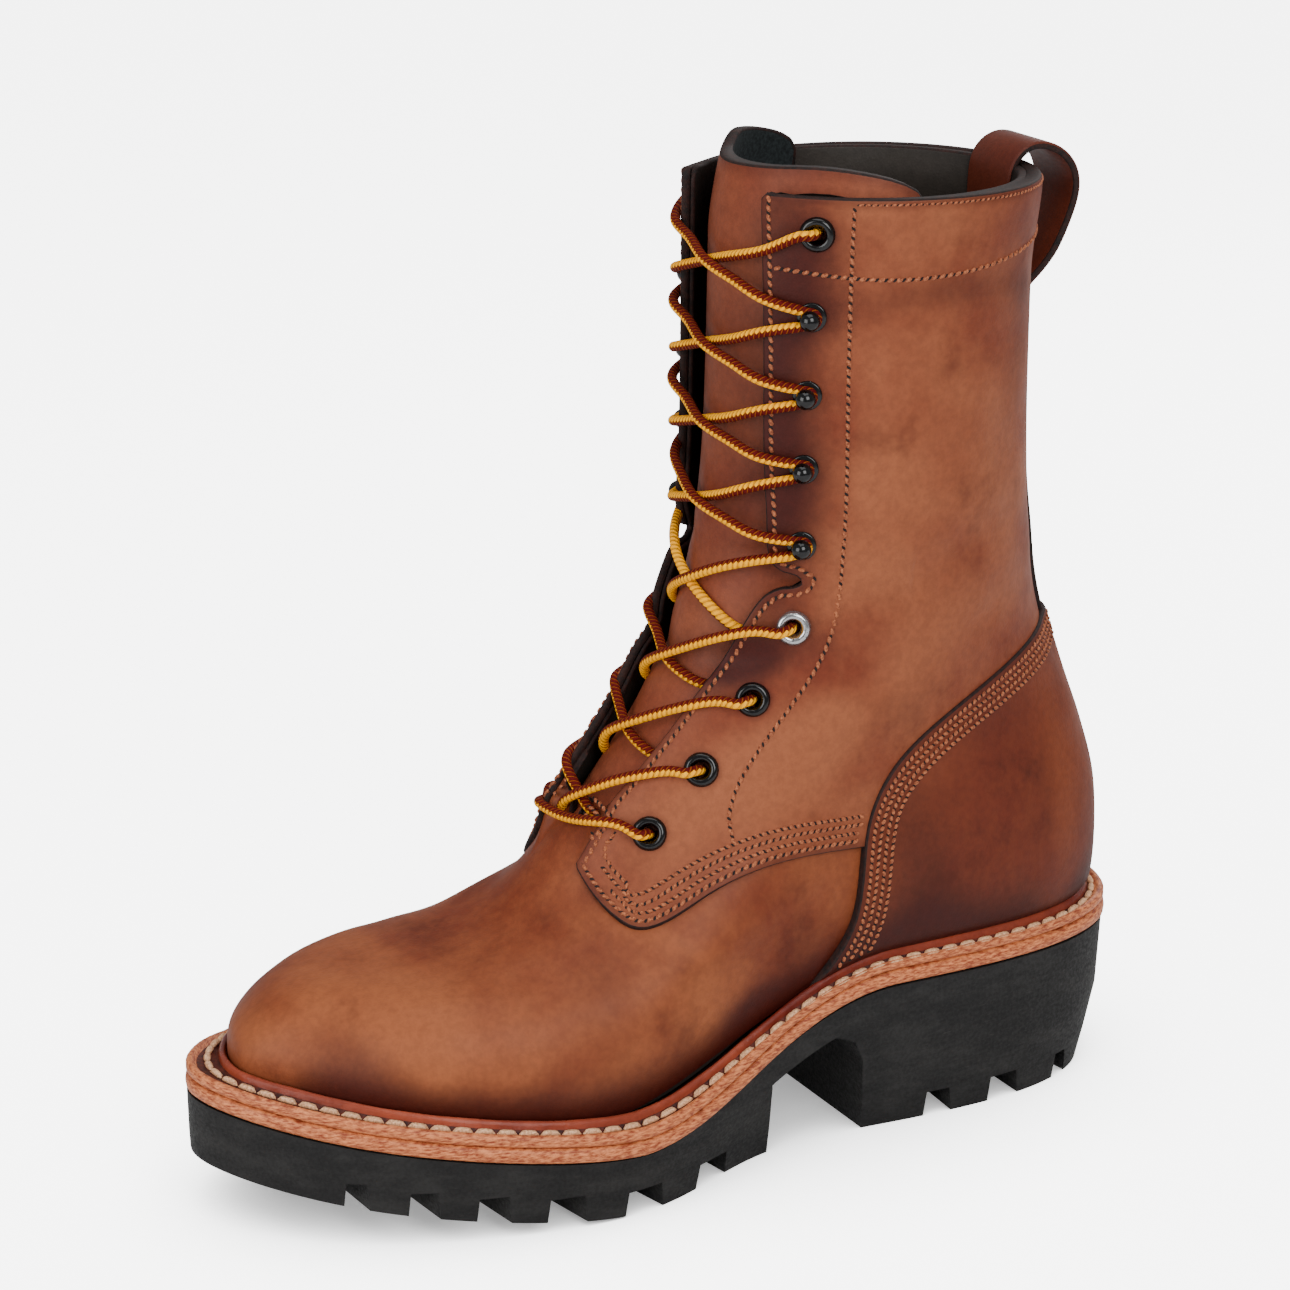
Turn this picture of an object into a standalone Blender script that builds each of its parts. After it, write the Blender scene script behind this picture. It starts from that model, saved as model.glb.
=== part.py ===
"""Left logger boot, 9-inch shaft, built as separate pieces.

Metres. +X runs to the toe, +Y to the wearer's left, which is the outer side of this boot,
and +Z up. The origin is the middle of the heel's resting face. Lengths along the boot are
written from the back end of the outsole, and placed() moves them to that origin.
"""
import math

import bmesh
import bpy
import numpy as np
from mathutils import Matrix, Vector

MM = 0.001

# Driving sizes
SOLE_LENGTH = 306 * MM
BALL_WIDTH = 112 * MM
HEEL_CENTRE = 58 * MM
RUBBER_HEEL = 46.6 * MM
RUBBER_BALL = 18.8 * MM
TOE_SPRING = 18.6 * MM
MIDSOLE = 4.7 * MM
WELT = 3.2 * MM
LIP_HIGH = 3.6 * MM
LIP_WIDE = 2.4 * MM
LIP_FLARE = 0.7 * MM
GAP = 0.3 * MM
WALL = 2.2 * MM
QUARTER = 1.2 * MM
COUNTER = 1.8 * MM
BACKSTAY = 1.2 * MM
TONGUE = 3.0 * MM
INSOLE_RISE = 3.0 * MM
INSOLE_INSET = 0.75 * MM
COLLAR_RISE = 233 * MM

# The tables chart a boot 306 mm long, 112 mm wide at the ball and 233 mm from welt to collar,
# and grow with the driving sizes
LONG = SOLE_LENGTH / 306
WIDE = BALL_WIDTH / 112
HIGH = COLLAR_RISE / 233

# Outsole
WAIST_FROM = 0.31
WAIST_TO = 0.63
SPRING_FROM = 0.62
SPRING_POWER = 1.36
TOE_SWING = -2.9 * MM
LUG_DEPTH = 8 * MM
SHANK = 9 * MM
BREAST_X = 105.5 * LONG
BREAST_TOP_X = 108 * LONG
BREAST_TOP_Z = 27 * MM
BREAST_BEND = ((-1 * MM, -3 * MM), (2 * MM, 4 * MM))
SHANK_BACK_X = 117 * LONG
BLOCK_BACK_X = 141 * LONG
BLOCK_LEAN = 1.5 * MM
HEEL_BACK_RAKE = 9 * MM
HEEL_BACK_LONG = 60 * MM
FOOT_INSET = 1.6 * MM
WAIST_INSET = 6 * MM
WAIST_MIDDLE = 0.46
WAIST_REACH = 0.12

# Outline of the sole. Columns: share of the length; half widths to the outer and to the inner
# side, as shares of the ball width
OUTLINE = (
    (0.008, 0.13, 0.13),
    (0.03, 0.225, 0.22),
    (0.08, 0.31, 0.305),
    (0.15, 0.355, 0.345),
    (0.25, 0.365, 0.335),
    (0.35, 0.36, 0.30),
    (0.45, 0.39, 0.295),
    (0.55, 0.465, 0.36),
    (0.64, 0.503, 0.44),
    (0.73, 0.475, 0.474),
    (0.81, 0.415, 0.455),
    (0.885, 0.325, 0.395),
    (0.94, 0.215, 0.31),
    (0.98, 0.09, 0.20),
)
TOE_TIP = -0.06

# Side notches between the lugs, in millimetres. Columns: middle along the boot, width, skew
NOTCHES = (
    (29, 6, 3),
    (55, 11, 0),
    (80, 9, -2),
    (163, 13, 4),
    (191, 13, 5),
    (216, 11, 5),
    (236.5, 9, 4),
    (255, 8, 3),
    (272, 6, 2),
)
NOTCH_REACH = 0.52
NOTCH_END = 0.67
BEYOND = 12 * MM

# Level sections of the upper, in millimetres. Columns: name; back and front end along the boot;
# their rises over the welt; half widths to the outer and inner side; share of the foot's plan;
# share of the sole's curve that the section follows; swing of the toe
SECTIONS = (
    ("feather", 8.5, 293, 0.3, 0.3, 47, 44, 1, 1, -6),
    ("lip", 7, 292.5, 7, 8, 49, 46, 1, 1, -6),
    ("wall", 6.5, 288.5, 17, 15, 50, 47, 1, 1, -6),
    ("bulge", 6.5, 279, 28, 22.5, 49, 46, 0.95, 0.9, -6),
    ("toe_top", 7.5, 263, 40, 26.5, 46.5, 43.5, 0.85, 0.75, -5.5),
    ("vamp_low", 10.5, 246, 52, 27, 43, 39.5, 0.7, 0.6, -5),
    ("vamp_mid", 14.5, 228, 64, 27.5, 39.5, 37, 0.5, 0.4, -4),
    ("vamp_top", 20, 211, 76, 30, 37, 34.5, 0.3, 0.25, -3),
    ("throat", 24.5, 196, 88, 39, 35.5, 33.5, 0.15, 0.1, -2.5),
    ("instep", 28.5, 180.5, 102, 55.5, 35.5, 34, 0, 0, -2),
    ("ankle", 31, 163, 117, 77.5, 36, 35.5, 0, 0, -1.5),
    ("bend", 33.5, 148.5, 135, 107, 37, 37, 0, 0, -1),
    ("shaft_low", 35.5, 141, 157, 142, 38.5, 38.5, 0, 0, 0),
    ("shaft_mid", 36.5, 138.5, 183, 177, 40, 40, 0, 0, 0),
    ("shaft_top", 37, 137.5, 210, 211, 41.5, 41.5, 0, 0, 0),
    ("collar", 37, 137, 233, 236, 42.5, 42.5, 0, 0, 0),
)
ABOVE_COLLAR = 17

# Plan of a section, as shares. Columns: from back to front; half widths of a foot's plan to the
# outer and inner side; half width of an oval
PLAN = (
    (0.03, 0.44, 0.45, 0.34),
    (0.14, 0.72, 0.73, 0.70),
    (0.42, 0.76, 0.66, 0.985),
    (0.67, 1.0, 0.97, 0.94),
    (0.80, 0.89, 0.99, 0.80),
    (0.90, 0.64, 0.86, 0.60),
    (0.97, 0.30, 0.53, 0.34),
)

# Throat seen from the front, in millimetres. Columns: half of the gap between the facings; rise
THROAT = (
    (18.5, 230),
    (19.5, 195),
    (20.5, 157),
    (22, 137),
    (25, 125),
    (29.5, 122.5),
    (29.5, 120.5),
    (24.5, 120),
    (22, 115),
    (19.3, 104),
    (15.2, 86),
    (12.2, 67),
    (9.8, 56),
)
THROAT_END = (6, 50)
TAB_GAP = (10.5, 47)

# Edges of the overlays in side view, in millimetres. Columns: along the boot; rise
TAB_EDGE = (
    (186.5, 48),
    (189.5, 40.5),
    (188.5, 33),
    (183, 28),
    (171.5, 30),
    (158, 35),
    (136.5, 38.5),
)
COUNTER_EDGE = (
    (124.5, -4),
    (119, 2.5),
    (111, 15),
    (107.5, 34),
    (102.5, 51.5),
    (91, 65),
    (74, 75),
    (53.5, 83),
    (30, 90.5),
    (0, 100),
)
BACKSTAY_HALF = 8 * MM
FAR_RISE = 265
FAR_FORWARD = 260
BESIDE_EDGE = 0.35

# Rows of eyelets and hooks up each facing. Columns: kind; half distance across; rise
ROWS = (
    ("eyelet", 21.5, 49),
    ("eyelet", 24, 67),
    ("eyelet", 26.3, 87),
    ("eyelet", 28.8, 108),
    ("hook", 28.4, 133),
    ("hook", 28.2, 156),
    ("hook", 28.6, 178),
    ("hook", 29.4, 201),
    ("eyelet", 30.4, 225),
)
EYELET_HOLE = 1.75 * MM
EYELET_BARREL = 2.3 * MM
EYELET_FLANGE = 4.9 * MM
EYELET_RISE = 0.9 * MM
SEAT_GAP = 0.55 * MM
HOOK_BASE = 4.4 * MM
HOOK_TOP = 3.9 * MM
HOOK_FOOT = 1 * MM
HOOK_WIDTH = 5 * MM
HOOK_CLEAR = 5.5 * MM

# Lace: tube radius, and its height over the upper's form at the rows, the edge and midway
LACE_RADIUS = 1.6 * MM
LACE_OVER_ROW = 5.7 * MM
LACE_OVER_EDGE = 5.0 * MM
LACE_OVER_LEATHER = 3.9 * MM
LACE_MIDWAY = 2.0 * MM
LACE_BAR_MIDWAY = 2.8 * MM
LACE_APART = 2.3 * MM

# Tongue's back edge and slanting top in side view. Columns: along the boot; rise
TONGUE_EDGE = (
    (137, 251),
    (124, 248),
    (112, 241),
    (96, 233),
    (95, 215),
    (106, 170),
    (112, 135),
    (122, 110),
    (150, 70),
    (178, 41),
)

# Pull loop's middle line in side view, from inside the collar over to the outside.
# Columns: along the boot; rise
LOOP_LINE = (
    (43, 209),
    (43, 229),
    (41.3, 236.5),
    (35.5, 241.5),
    (28, 241),
    (21.5, 236),
    (19.3, 228),
    (21, 218),
    (26, 208),
    (31.2, 199),
    (32.4, 192),
    (32.4, 183),
)
LOOP_HALF_WIDTH = 11 * MM
LOOP_THICK = 2.2 * MM

# Counts of faces
AROUND_COUNT = 30
LEVEL_COUNT = 14
LEVEL_POWER = 1.2
OUTLINE_COUNT = 56
PROFILE_COUNT = 26

MATERIALS = {
    "leather": ((0.23, 0.085, 0.038), 0.55, 0.0),
    "dark_leather": ((0.16, 0.055, 0.028), 0.55, 0.0),
    "welt_leather": ((0.33, 0.10, 0.05), 0.5, 0.0),
    "tan_leather": ((0.62, 0.30, 0.14), 0.6, 0.0),
    "rubber": ((0.012, 0.012, 0.012), 0.7, 0.0),
    "lining": ((0.05, 0.035, 0.03), 0.7, 0.0),
    "metal": ((0.04, 0.04, 0.045), 0.3, 1.0),
    "lace": ((0.75, 0.45, 0.08), 0.8, 0.0),
}


def clear_scene():
    for old in list(bpy.data.objects):
        bpy.data.objects.remove(old, do_unlink=True)


def collection(name):
    new = bpy.data.collections.new(name)
    bpy.context.scene.collection.children.link(new)
    return new


def material(name):
    colour, roughness, metallic = MATERIALS[name]
    if name in bpy.data.materials:
        return bpy.data.materials[name]
    new = bpy.data.materials.new(name)
    new.use_nodes = True
    shader = new.node_tree.nodes["Principled BSDF"]
    shader.inputs["Base Color"].default_value = (*colour, 1)
    shader.inputs["Roughness"].default_value = roughness
    shader.inputs["Metallic"].default_value = metallic
    return new


def placed(points):
    """Points from the back end of the outsole, moved to the boot's own origin."""
    return np.asarray(points, float) - np.array([HEEL_CENTRE, 0, 0])


# Curves through named points
def spline(knots, values, at, closed=False):
    """Cubic spline through the values at the knots, with natural ends or as a closed loop."""
    knots = np.asarray(knots, float)
    values = np.asarray(values, float)
    step = np.diff(knots)
    flat = values.reshape(len(knots), -1)
    slope = np.diff(flat, axis=0) / step[:, None]
    count = len(knots)
    matrix = np.zeros((count, count))
    right = np.zeros_like(flat)
    for i in range(1, count - 1):
        matrix[i, i - 1:i + 2] = step[i - 1], 2 * (step[i - 1] + step[i]), step[i]
        right[i] = 6 * (slope[i] - slope[i - 1])
    if closed:
        matrix[0, 0] = 2 * (step[0] + step[-1])
        matrix[0, 1] = step[0]
        matrix[0, -2] = step[-1]
        right[0] = 6 * (slope[0] - slope[-1])
        matrix[-1, 0] = 1
        matrix[-1, -1] = -1
    else:
        matrix[0, 0] = matrix[-1, -1] = 1
    bend = np.linalg.solve(matrix, right)
    at = np.atleast_1d(np.asarray(at, float))
    i = np.clip(np.searchsorted(knots, at, side="right") - 1, 0, count - 2)
    a = ((knots[i + 1] - at) / step[i])[:, None]
    b = 1 - a
    square = (step[i] ** 2 / 6)[:, None]
    found = a * flat[i] + b * flat[i + 1] + ((a ** 3 - a) * bend[i] + (b ** 3 - b) * bend[i + 1]) * square
    return found.reshape((len(at),) + values.shape[1:])


def loop_knots(points, power=1.0):
    steps = np.linalg.norm(np.diff(points, axis=0), axis=1) ** power
    knots = np.concatenate([[0], np.cumsum(steps)])
    return knots / knots[-1]


def smooth(share):
    share = np.clip(share, 0, 1)
    return share * share * (3 - 2 * share)


# Heights along the sole
def spring(x):
    share = np.asarray(x) / SOLE_LENGTH
    return TOE_SPRING * np.clip((share - SPRING_FROM) / (1 - SPRING_FROM), 0, 1.2) ** SPRING_POWER


def rubber_top(x):
    share = np.asarray(x) / SOLE_LENGTH
    waist = smooth((share - WAIST_FROM) / (WAIST_TO - WAIST_FROM))
    return RUBBER_HEEL + (RUBBER_BALL - RUBBER_HEEL) * waist + spring(x)


def midsole_top(x):
    return rubber_top(x) + GAP + MIDSOLE


def welt_top(x):
    return midsole_top(x) + GAP + WELT


# Outline of the sole in plan
def outline(count, inset=0.0):
    outer = [(a * SOLE_LENGTH, o * BALL_WIDTH * 1.01) for a, o, _ in OUTLINE]
    inner = [(a * SOLE_LENGTH, -i * BALL_WIDTH) for a, _, i in OUTLINE]
    points = np.array([(0, 0)] + outer + [(SOLE_LENGTH, TOE_TIP * BALL_WIDTH)] + inner[::-1] + [(0, 0)])
    swing = np.clip(points[:, 0] / SOLE_LENGTH * 2 - 1, 0, 1) ** 2
    points[:, 1] += TOE_SWING * swing
    knots = loop_knots(points)
    at = np.arange(count) / count
    found = spline(knots, points, at, closed=True)
    ahead = spline(knots, points, (at + 0.001) % 1, closed=True) - found
    normal = np.stack([-ahead[:, 1], ahead[:, 0]], 1)
    normal /= np.linalg.norm(normal, axis=1)[:, None]
    inset = np.broadcast_to(inset, (count,))
    return found - normal * inset[:, None]


# The upper's form: a surface through the level sections
def level(rise):
    """Height of a chart's rise, which is counted from the welt at the heel."""
    return welt_top(0) + rise * HIGH


def section(row):
    _, back, front, back_rise, front_rise, outer, inner, foot, follow, swing = row

    def point(share, side, half):
        x = (back + share * (front - back)) * LONG
        rise = back_rise * (1 - share) + front_rise * share
        z = (1 - follow) * welt_top(0) + follow * welt_top(x) + rise * HIGH
        return x, (side * half + swing * max(0, 2 * share - 1) ** 2) * WIDE, z

    points = [point(0, 1, 0)]
    points += [point(a, 1, outer * (f * foot + o * (1 - foot))) for a, f, _, o in PLAN]
    points += [point(1, 1, 0)]
    points += [point(a, -1, inner * (f * foot + o * (1 - foot))) for a, _, f, o in PLAN[::-1]]
    return np.array(points + points[:1])


LOOPS = np.array([section(row) for row in SECTIONS])
LOOPS = np.concatenate([LOOPS, LOOPS[-1:] + [0, 0, ABOVE_COLLAR * HIGH]])
ROUND_STEPS = np.linalg.norm(np.diff(LOOPS, axis=1), axis=2)[2:].mean(0) ** 0.8
ROUND_KNOTS = np.concatenate([[0], np.cumsum(ROUND_STEPS)]) / ROUND_STEPS.sum()
UP_STEPS = np.linalg.norm(np.diff(LOOPS, axis=0), axis=2).mean(1) ** 0.7
UP_KNOTS = np.concatenate([[0], np.cumsum(UP_STEPS)]) / UP_STEPS.sum()
COLLAR_UP = UP_KNOTS[len(SECTIONS) - 1]


def up_of(name):
    return UP_KNOTS[[row[0] for row in SECTIONS].index(name)]


def form(around, ups, offset=0.0):
    """Grid of points on the form, moved outward by the offset."""
    around = np.asarray(around, float)
    ups = np.asarray(ups, float)

    def surface(turn, up):
        rings = spline(ROUND_KNOTS, np.swapaxes(LOOPS, 0, 1), turn % 1, closed=True)
        return spline(UP_KNOTS, np.swapaxes(rings, 0, 1), up)

    here = surface(around, ups)
    if not offset:
        return here
    small = 0.002
    across = surface(around + small, ups) - surface(around - small, ups)
    rise = surface(around, np.minimum(ups + small, 1)) - surface(around, np.maximum(ups - small, 0))
    normal = np.cross(rise, across)
    normal /= np.linalg.norm(normal, axis=2)[..., None]
    return here + normal * offset


def on_form(turn, up, offset=0.0):
    return form([turn], [up], offset)[0, 0]


def find_on_form(across, height, side):
    """Where the front of the form has this distance from the middle and this height."""
    turn, up = 0.5 - side * 0.1, (up_of("throat") + COLLAR_UP) / 2
    small = 1e-4
    target = np.array([side * across, height])
    for _ in range(40):
        here = on_form(turn, up)[1:]
        by_turn = (on_form(turn + small, up)[1:] - here) / small
        by_up = (on_form(turn, up + small)[1:] - here) / small
        move = np.linalg.solve(np.stack([by_turn, by_up], 1), target - here)
        move = np.clip(move, -0.03, 0.03)
        turn, up = turn + move[0], min(max(up + move[1], 0.01), 0.99)
    return turn, up


def local_frame(turn, up, side):
    """Point on the form, and its directions away from the throat, up the facing and outward."""
    small = 1e-3
    point = on_form(turn, up)
    outward = on_form(turn, up, 1.0) - point
    away = on_form(turn - side * small, up) - point
    away -= outward * away.dot(outward)
    away /= np.linalg.norm(away)
    along = np.cross(outward, away) * side
    along *= np.sign(along[2])
    return point, away, along, outward


# Mesh helpers
def add_mesh(name, points, faces, group, slot=None, solid=True):
    mesh = bpy.data.meshes.new(name)
    mesh.from_pydata([tuple(p) for p in placed(points)], [], faces)
    mesh.validate()
    new = bpy.data.objects.new(name, mesh)
    group.objects.link(new)
    if solid:
        work = bmesh.new()
        work.from_mesh(mesh)
        bmesh.ops.recalc_face_normals(work, faces=work.faces)
        work.to_mesh(mesh)
        work.free()
    if slot:
        mesh.materials.append(material(slot))
    return new


def prism(name, corners, axis, low, high, group, slot=None):
    """A flat outline, given by its two other coordinates, run along one axis."""
    corners = np.asarray(corners, float)
    ends = [np.insert(corners, axis, end, axis=1) for end in (low, high)]
    count = len(corners)
    faces = [list(range(count)), list(range(2 * count - 1, count - 1, -1))]
    faces += [[i, (i + 1) % count, count + (i + 1) % count, count + i] for i in range(count)]
    return add_mesh(name, np.concatenate(ends), faces, group, slot)


def cut(target, cutter, operation="DIFFERENCE"):
    cutter.hide_render = True
    cutter.display_type = "WIRE"
    change = target.modifiers.new(operation.lower() + "_" + cutter.name, "BOOLEAN")
    change.operation = operation
    change.object = cutter
    change.solver = "EXACT"


def rings_to_faces(rings, count, wrap=True):
    faces = []
    for r in range(rings - 1):
        for i in range(count if wrap else count - 1):
            j = (i + 1) % count
            a, b = r * count + i, r * count + j
            faces.append([a, b, b + count])
            faces.append([a, b + count, a + count])
    return faces


def form_shell(name, low_up, high_up, inside, thick, group, slot):
    """An open surface of the form, at the inside offset, given its thickness by Solidify.

    Every shell takes its rings from the same levels, so that their facets run side by side.
    """
    around = np.arange(AROUND_COUNT) / AROUND_COUNT
    levels = np.append(COLLAR_UP * np.linspace(0, 1, LEVEL_COUNT) ** LEVEL_POWER, 1.0)
    first = np.searchsorted(levels, low_up + 1e-9) - 1
    last = np.searchsorted(levels, high_up - 1e-9)
    kept = levels[max(first, 0):last + 1]
    grid = form(around, kept, inside)
    faces = [face[::-1] for face in rings_to_faces(len(kept), AROUND_COUNT)]
    shell = add_mesh(name, grid.reshape(-1, 3), faces, group, slot, solid=False)
    walls = shell.modifiers.new("thickness", "SOLIDIFY")
    walls.thickness = thick
    walls.offset = 1
    return shell


def plate(name, edge, low, high, group, cutters, slot):
    """A plan outline run upward, kept between two heights that change along the boot."""
    slab = prism(name, edge, 2, -BEYOND, 2 * welt_top(0), group, slot)
    side = side_profile(name + "_side", low, high, cutters)
    cut(slab, side, "INTERSECT")
    return slab


def side_profile(name, low, high, cutters, steps=PROFILE_COUNT):
    xs = np.linspace(-BEYOND, SOLE_LENGTH + BEYOND, steps)
    corners = [(x, low(x)) for x in xs] + [(x, high(x)) for x in xs[::-1]]
    return prism(name, corners, 1, -BALL_WIDTH, BALL_WIDTH, cutters)


# Sole
def build_outsole(group, cutters):
    levels = (-3 * MM, 9 * MM, 24 * MM, 60 * MM)
    shares = (1.0, 0.62, 0.22, 0.0)
    rings = []
    base = outline(OUTLINE_COUNT)
    along = base[:, 0] / SOLE_LENGTH
    waist = np.exp(-((along - WAIST_MIDDLE) / WAIST_REACH) ** 2)
    heel = np.clip(1 - base[:, 0] / HEEL_BACK_LONG, 0, 1)
    for height, share in zip(levels, shares):
        ring = outline(OUTLINE_COUNT, share * (FOOT_INSET + WAIST_INSET * waist))
        ring[:, 0] += HEEL_BACK_RAKE * share * heel
        rings.append(np.column_stack([ring, np.full(OUTLINE_COUNT, height)]))
    faces = rings_to_faces(len(levels), OUTLINE_COUNT)
    faces.append(list(range(OUTLINE_COUNT)))
    faces.append(list(range((len(levels) - 1) * OUTLINE_COUNT, len(levels) * OUTLINE_COUNT)))
    sole = add_mesh("outsole", np.concatenate(rings), faces, group, "rubber")
    cut(sole, outsole_profile(cutters), "INTERSECT")
    cut(sole, notch_cutter(cutters))
    return sole


def outsole_profile(cutters):
    xs = np.linspace(-BEYOND, SOLE_LENGTH + BEYOND, PROFILE_COUNT)
    top = [(x, rubber_top(x)) for x in xs[::-1]]
    arch = [(BREAST_X, 0)]
    arch += [(BREAST_TOP_X + x, BREAST_TOP_Z + z) for x, z in BREAST_BEND]
    arch += [(x, rubber_top(x) - SHANK) for x in np.linspace(SHANK_BACK_X, BLOCK_BACK_X, 6)]
    block = [(BLOCK_BACK_X - BLOCK_LEAN, 0)]
    block += [(x, spring(x)) for x in np.linspace(SPRING_FROM * SOLE_LENGTH, SOLE_LENGTH + BEYOND, 14)]
    return prism("outsole_side", [(-BEYOND, 0)] + arch + block + top, 1, -BALL_WIDTH, BALL_WIDTH, cutters)


def notch_cutter(cutters):
    """One mesh of tapered blocks, each cutting a notch between two lugs from the side."""
    edge = outline(OUTLINE_COUNT * 4)
    points = []
    faces = []
    for side in (1, -1):
        half = edge[edge[:, 1] * side > 0]
        for middle, width, skew in NOTCHES:
            nearest = half[np.abs(half[:, 0] - middle * LONG).argmin()]
            inner = nearest[1] * NOTCH_REACH
            top = float(spring(middle * LONG)) + LUG_DEPTH
            first = len(points)
            for z, wide in ((-BEYOND, width + 2), (top, width - 1)):
                for y, shift in ((inner, skew), (side * NOTCH_END * BALL_WIDTH, -skew)):
                    points.append(((middle + shift - wide / 2) * LONG, y, z))
                    points.append(((middle + shift + wide / 2) * LONG, y, z))
            quads = ((0, 1, 3, 2), (4, 5, 7, 6), (0, 1, 5, 4), (2, 3, 7, 6), (0, 2, 6, 4), (1, 3, 7, 5))
            faces += [[first + k for k in quad] for quad in quads]
    return add_mesh("notches", np.array(points), faces, cutters)


def build_midsole(group, cutters):
    edge = outline(OUTLINE_COUNT, 0.3 * MM)
    return plate("midsole", edge, lambda x: rubber_top(x) + GAP, midsole_top, group, cutters, "tan_leather")


def build_insole(group, cutters):
    around = np.arange(AROUND_COUNT) / AROUND_COUNT
    edge = form(around, [0.0], -WALL - INSOLE_INSET)[0][:, :2]
    low = lambda x: midsole_top(x) + GAP
    high = lambda x: welt_top(x) + INSOLE_RISE
    return plate("insole", edge, low, high, group, cutters, "lining")


def build_welt(group):
    """A ring under the upper's edge, with a raised lip that follows the upper outside."""
    count = 2 * AROUND_COUNT
    around = np.arange(AROUND_COUNT) / AROUND_COUNT
    foot = form(around, [0.0])[0]
    outward = form(around, [0.0], 1.0)[0] - foot
    outward[:, 2] = 0
    outward /= np.linalg.norm(outward, axis=1)[:, None]
    lip = form(around, [up_of("lip") * 0.55])[0]
    bulge = with_middles(((lip - foot) * outward).sum(1)[:, None])[:, 0]
    foot = with_middles(foot)
    outward = with_middles(outward)
    outward /= np.linalg.norm(outward, axis=1)[:, None]
    edge = outline(OUTLINE_COUNT * 4, 0.5 * MM)
    reach = np.array([reach_to(edge, p[:2], n[:2]) for p, n in zip(foot, outward)])
    corners = (
        (np.full(count, -WALL), 0, False),
        (reach, 0, False),
        (reach, 0, True),
        (np.full(count, GAP + LIP_WIDE + LIP_FLARE), 0, True),
        (bulge + GAP + LIP_WIDE, LIP_HIGH, True),
        (bulge + GAP, LIP_HIGH, True),
        (np.full(count, GAP), 0, True),
        (np.full(count, -WALL), 0, True),
    )
    points = []
    for out, lift, upper_side in corners:
        ring = foot + outward * out[:, None]
        if upper_side and np.all(out < 3 * GAP):
            ring[:, 2] = foot[:, 2] - GAP + lift
        elif upper_side:
            ring[:, 2] = welt_top(ring[:, 0]) + lift
        else:
            ring[:, 2] = midsole_top(ring[:, 0]) + GAP
        points.append(ring)
    faces = rings_to_faces(len(corners), count)
    last = (len(corners) - 1) * count
    for i in range(count):
        j = (i + 1) % count
        faces.append([last + i, last + j, j])
        faces.append([last + i, j, i])
    return add_mesh("welt", np.concatenate(points), faces, group, "welt_leather")


def with_middles(values):
    """A closed ring of values with the middle of each pair of neighbours put between them."""
    middles = (values + np.roll(values, -1, axis=0)) / 2
    return np.stack([values, middles], 1).reshape(-1, values.shape[1])


def reach_to(edge, start, direction):
    """Distance from a point along a direction to a closed outline."""
    best = None
    for a, b in zip(edge, np.roll(edge, -1, axis=0)):
        side = b - a
        cross = direction[0] * side[1] - direction[1] * side[0]
        if abs(cross) < 1e-12:
            continue
        gap = a - start
        distance = (gap[0] * side[1] - gap[1] * side[0]) / cross
        share = (gap[0] * direction[1] - gap[1] * direction[0]) / cross
        if 0 <= share <= 1 and distance > 0 and (best is None or distance < best):
            best = distance
    return best


# Cutters shared by the upper and its overlays
def throat_cutter(name, end, cutters):
    half = [(THROAT[0][0], FAR_RISE)] + list(THROAT) + list(end)
    corners = [(y * WIDE, level(z)) for y, z in half]
    corners += [(-y * WIDE, level(z)) for y, z in half[::-1]]
    return prism(name, corners, 0, 0.3 * SOLE_LENGTH, 1.1 * SOLE_LENGTH, cutters)


def side_cutter(name, corners, low, high, cutters):
    return prism(name, [(x * LONG, level(z)) for x, z in corners], 1, low, high, cutters)


def hole_cutter(rows, cutters):
    """Round holes for the eyelets' barrels, as one mesh of separate cylinders."""
    work = bmesh.new()
    for kind, point, away, along, outward in rows:
        if kind == "eyelet":
            place = frame_matrix(point, away, along, outward)
            bmesh.ops.create_cone(
                work, cap_ends=True, segments=8, radius1=EYELET_BARREL + GAP,
                radius2=EYELET_BARREL + GAP, depth=12 * MM, matrix=place,
            )
    mesh = bpy.data.meshes.new("eyelet_holes")
    work.to_mesh(mesh)
    work.free()
    holes = bpy.data.objects.new("eyelet_holes", mesh)
    cutters.objects.link(holes)
    return holes


def frame_matrix(point, away, along, outward):
    """Axes: X away from the throat, Z outward, Y up or down the facing to suit."""
    z = Vector(outward).normalized()
    x = Vector(away).normalized()
    y = z.cross(x)
    place = Matrix((x, y, z)).transposed().to_4x4()
    place.translation = Vector(placed(point))
    return place


# Upper and its overlays
def build_upper(group, throat, holes):
    upper = form_shell("upper", 0.0, COLLAR_UP, -WALL, WALL, group, "leather")
    cut(upper, throat)
    cut(upper, holes)
    return upper


def build_quarters(group, cutters, throat, holes):
    low = up_of("bulge")
    top = [(0, FAR_RISE), (FAR_FORWARD, FAR_RISE), (FAR_FORWARD, 75)]
    beside = [(x + BESIDE_EDGE, z + BESIDE_EDGE) for x, z in COUNTER_EDGE[4:]]
    corners = top + list(TAB_EDGE) + [(107, 38.5)] + beside
    for name, side in (("quarter_outer", 1), ("quarter_inner", -1)):
        quarter = form_shell(name, low, COLLAR_UP, GAP, QUARTER, group, "leather")
        near, far = sorted((side * GAP / 2, side * BALL_WIDTH))
        cut(quarter, side_cutter(name + "_side", corners, near, far, cutters), "INTERSECT")
        cut(quarter, throat)
        cut(quarter, holes)


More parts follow.
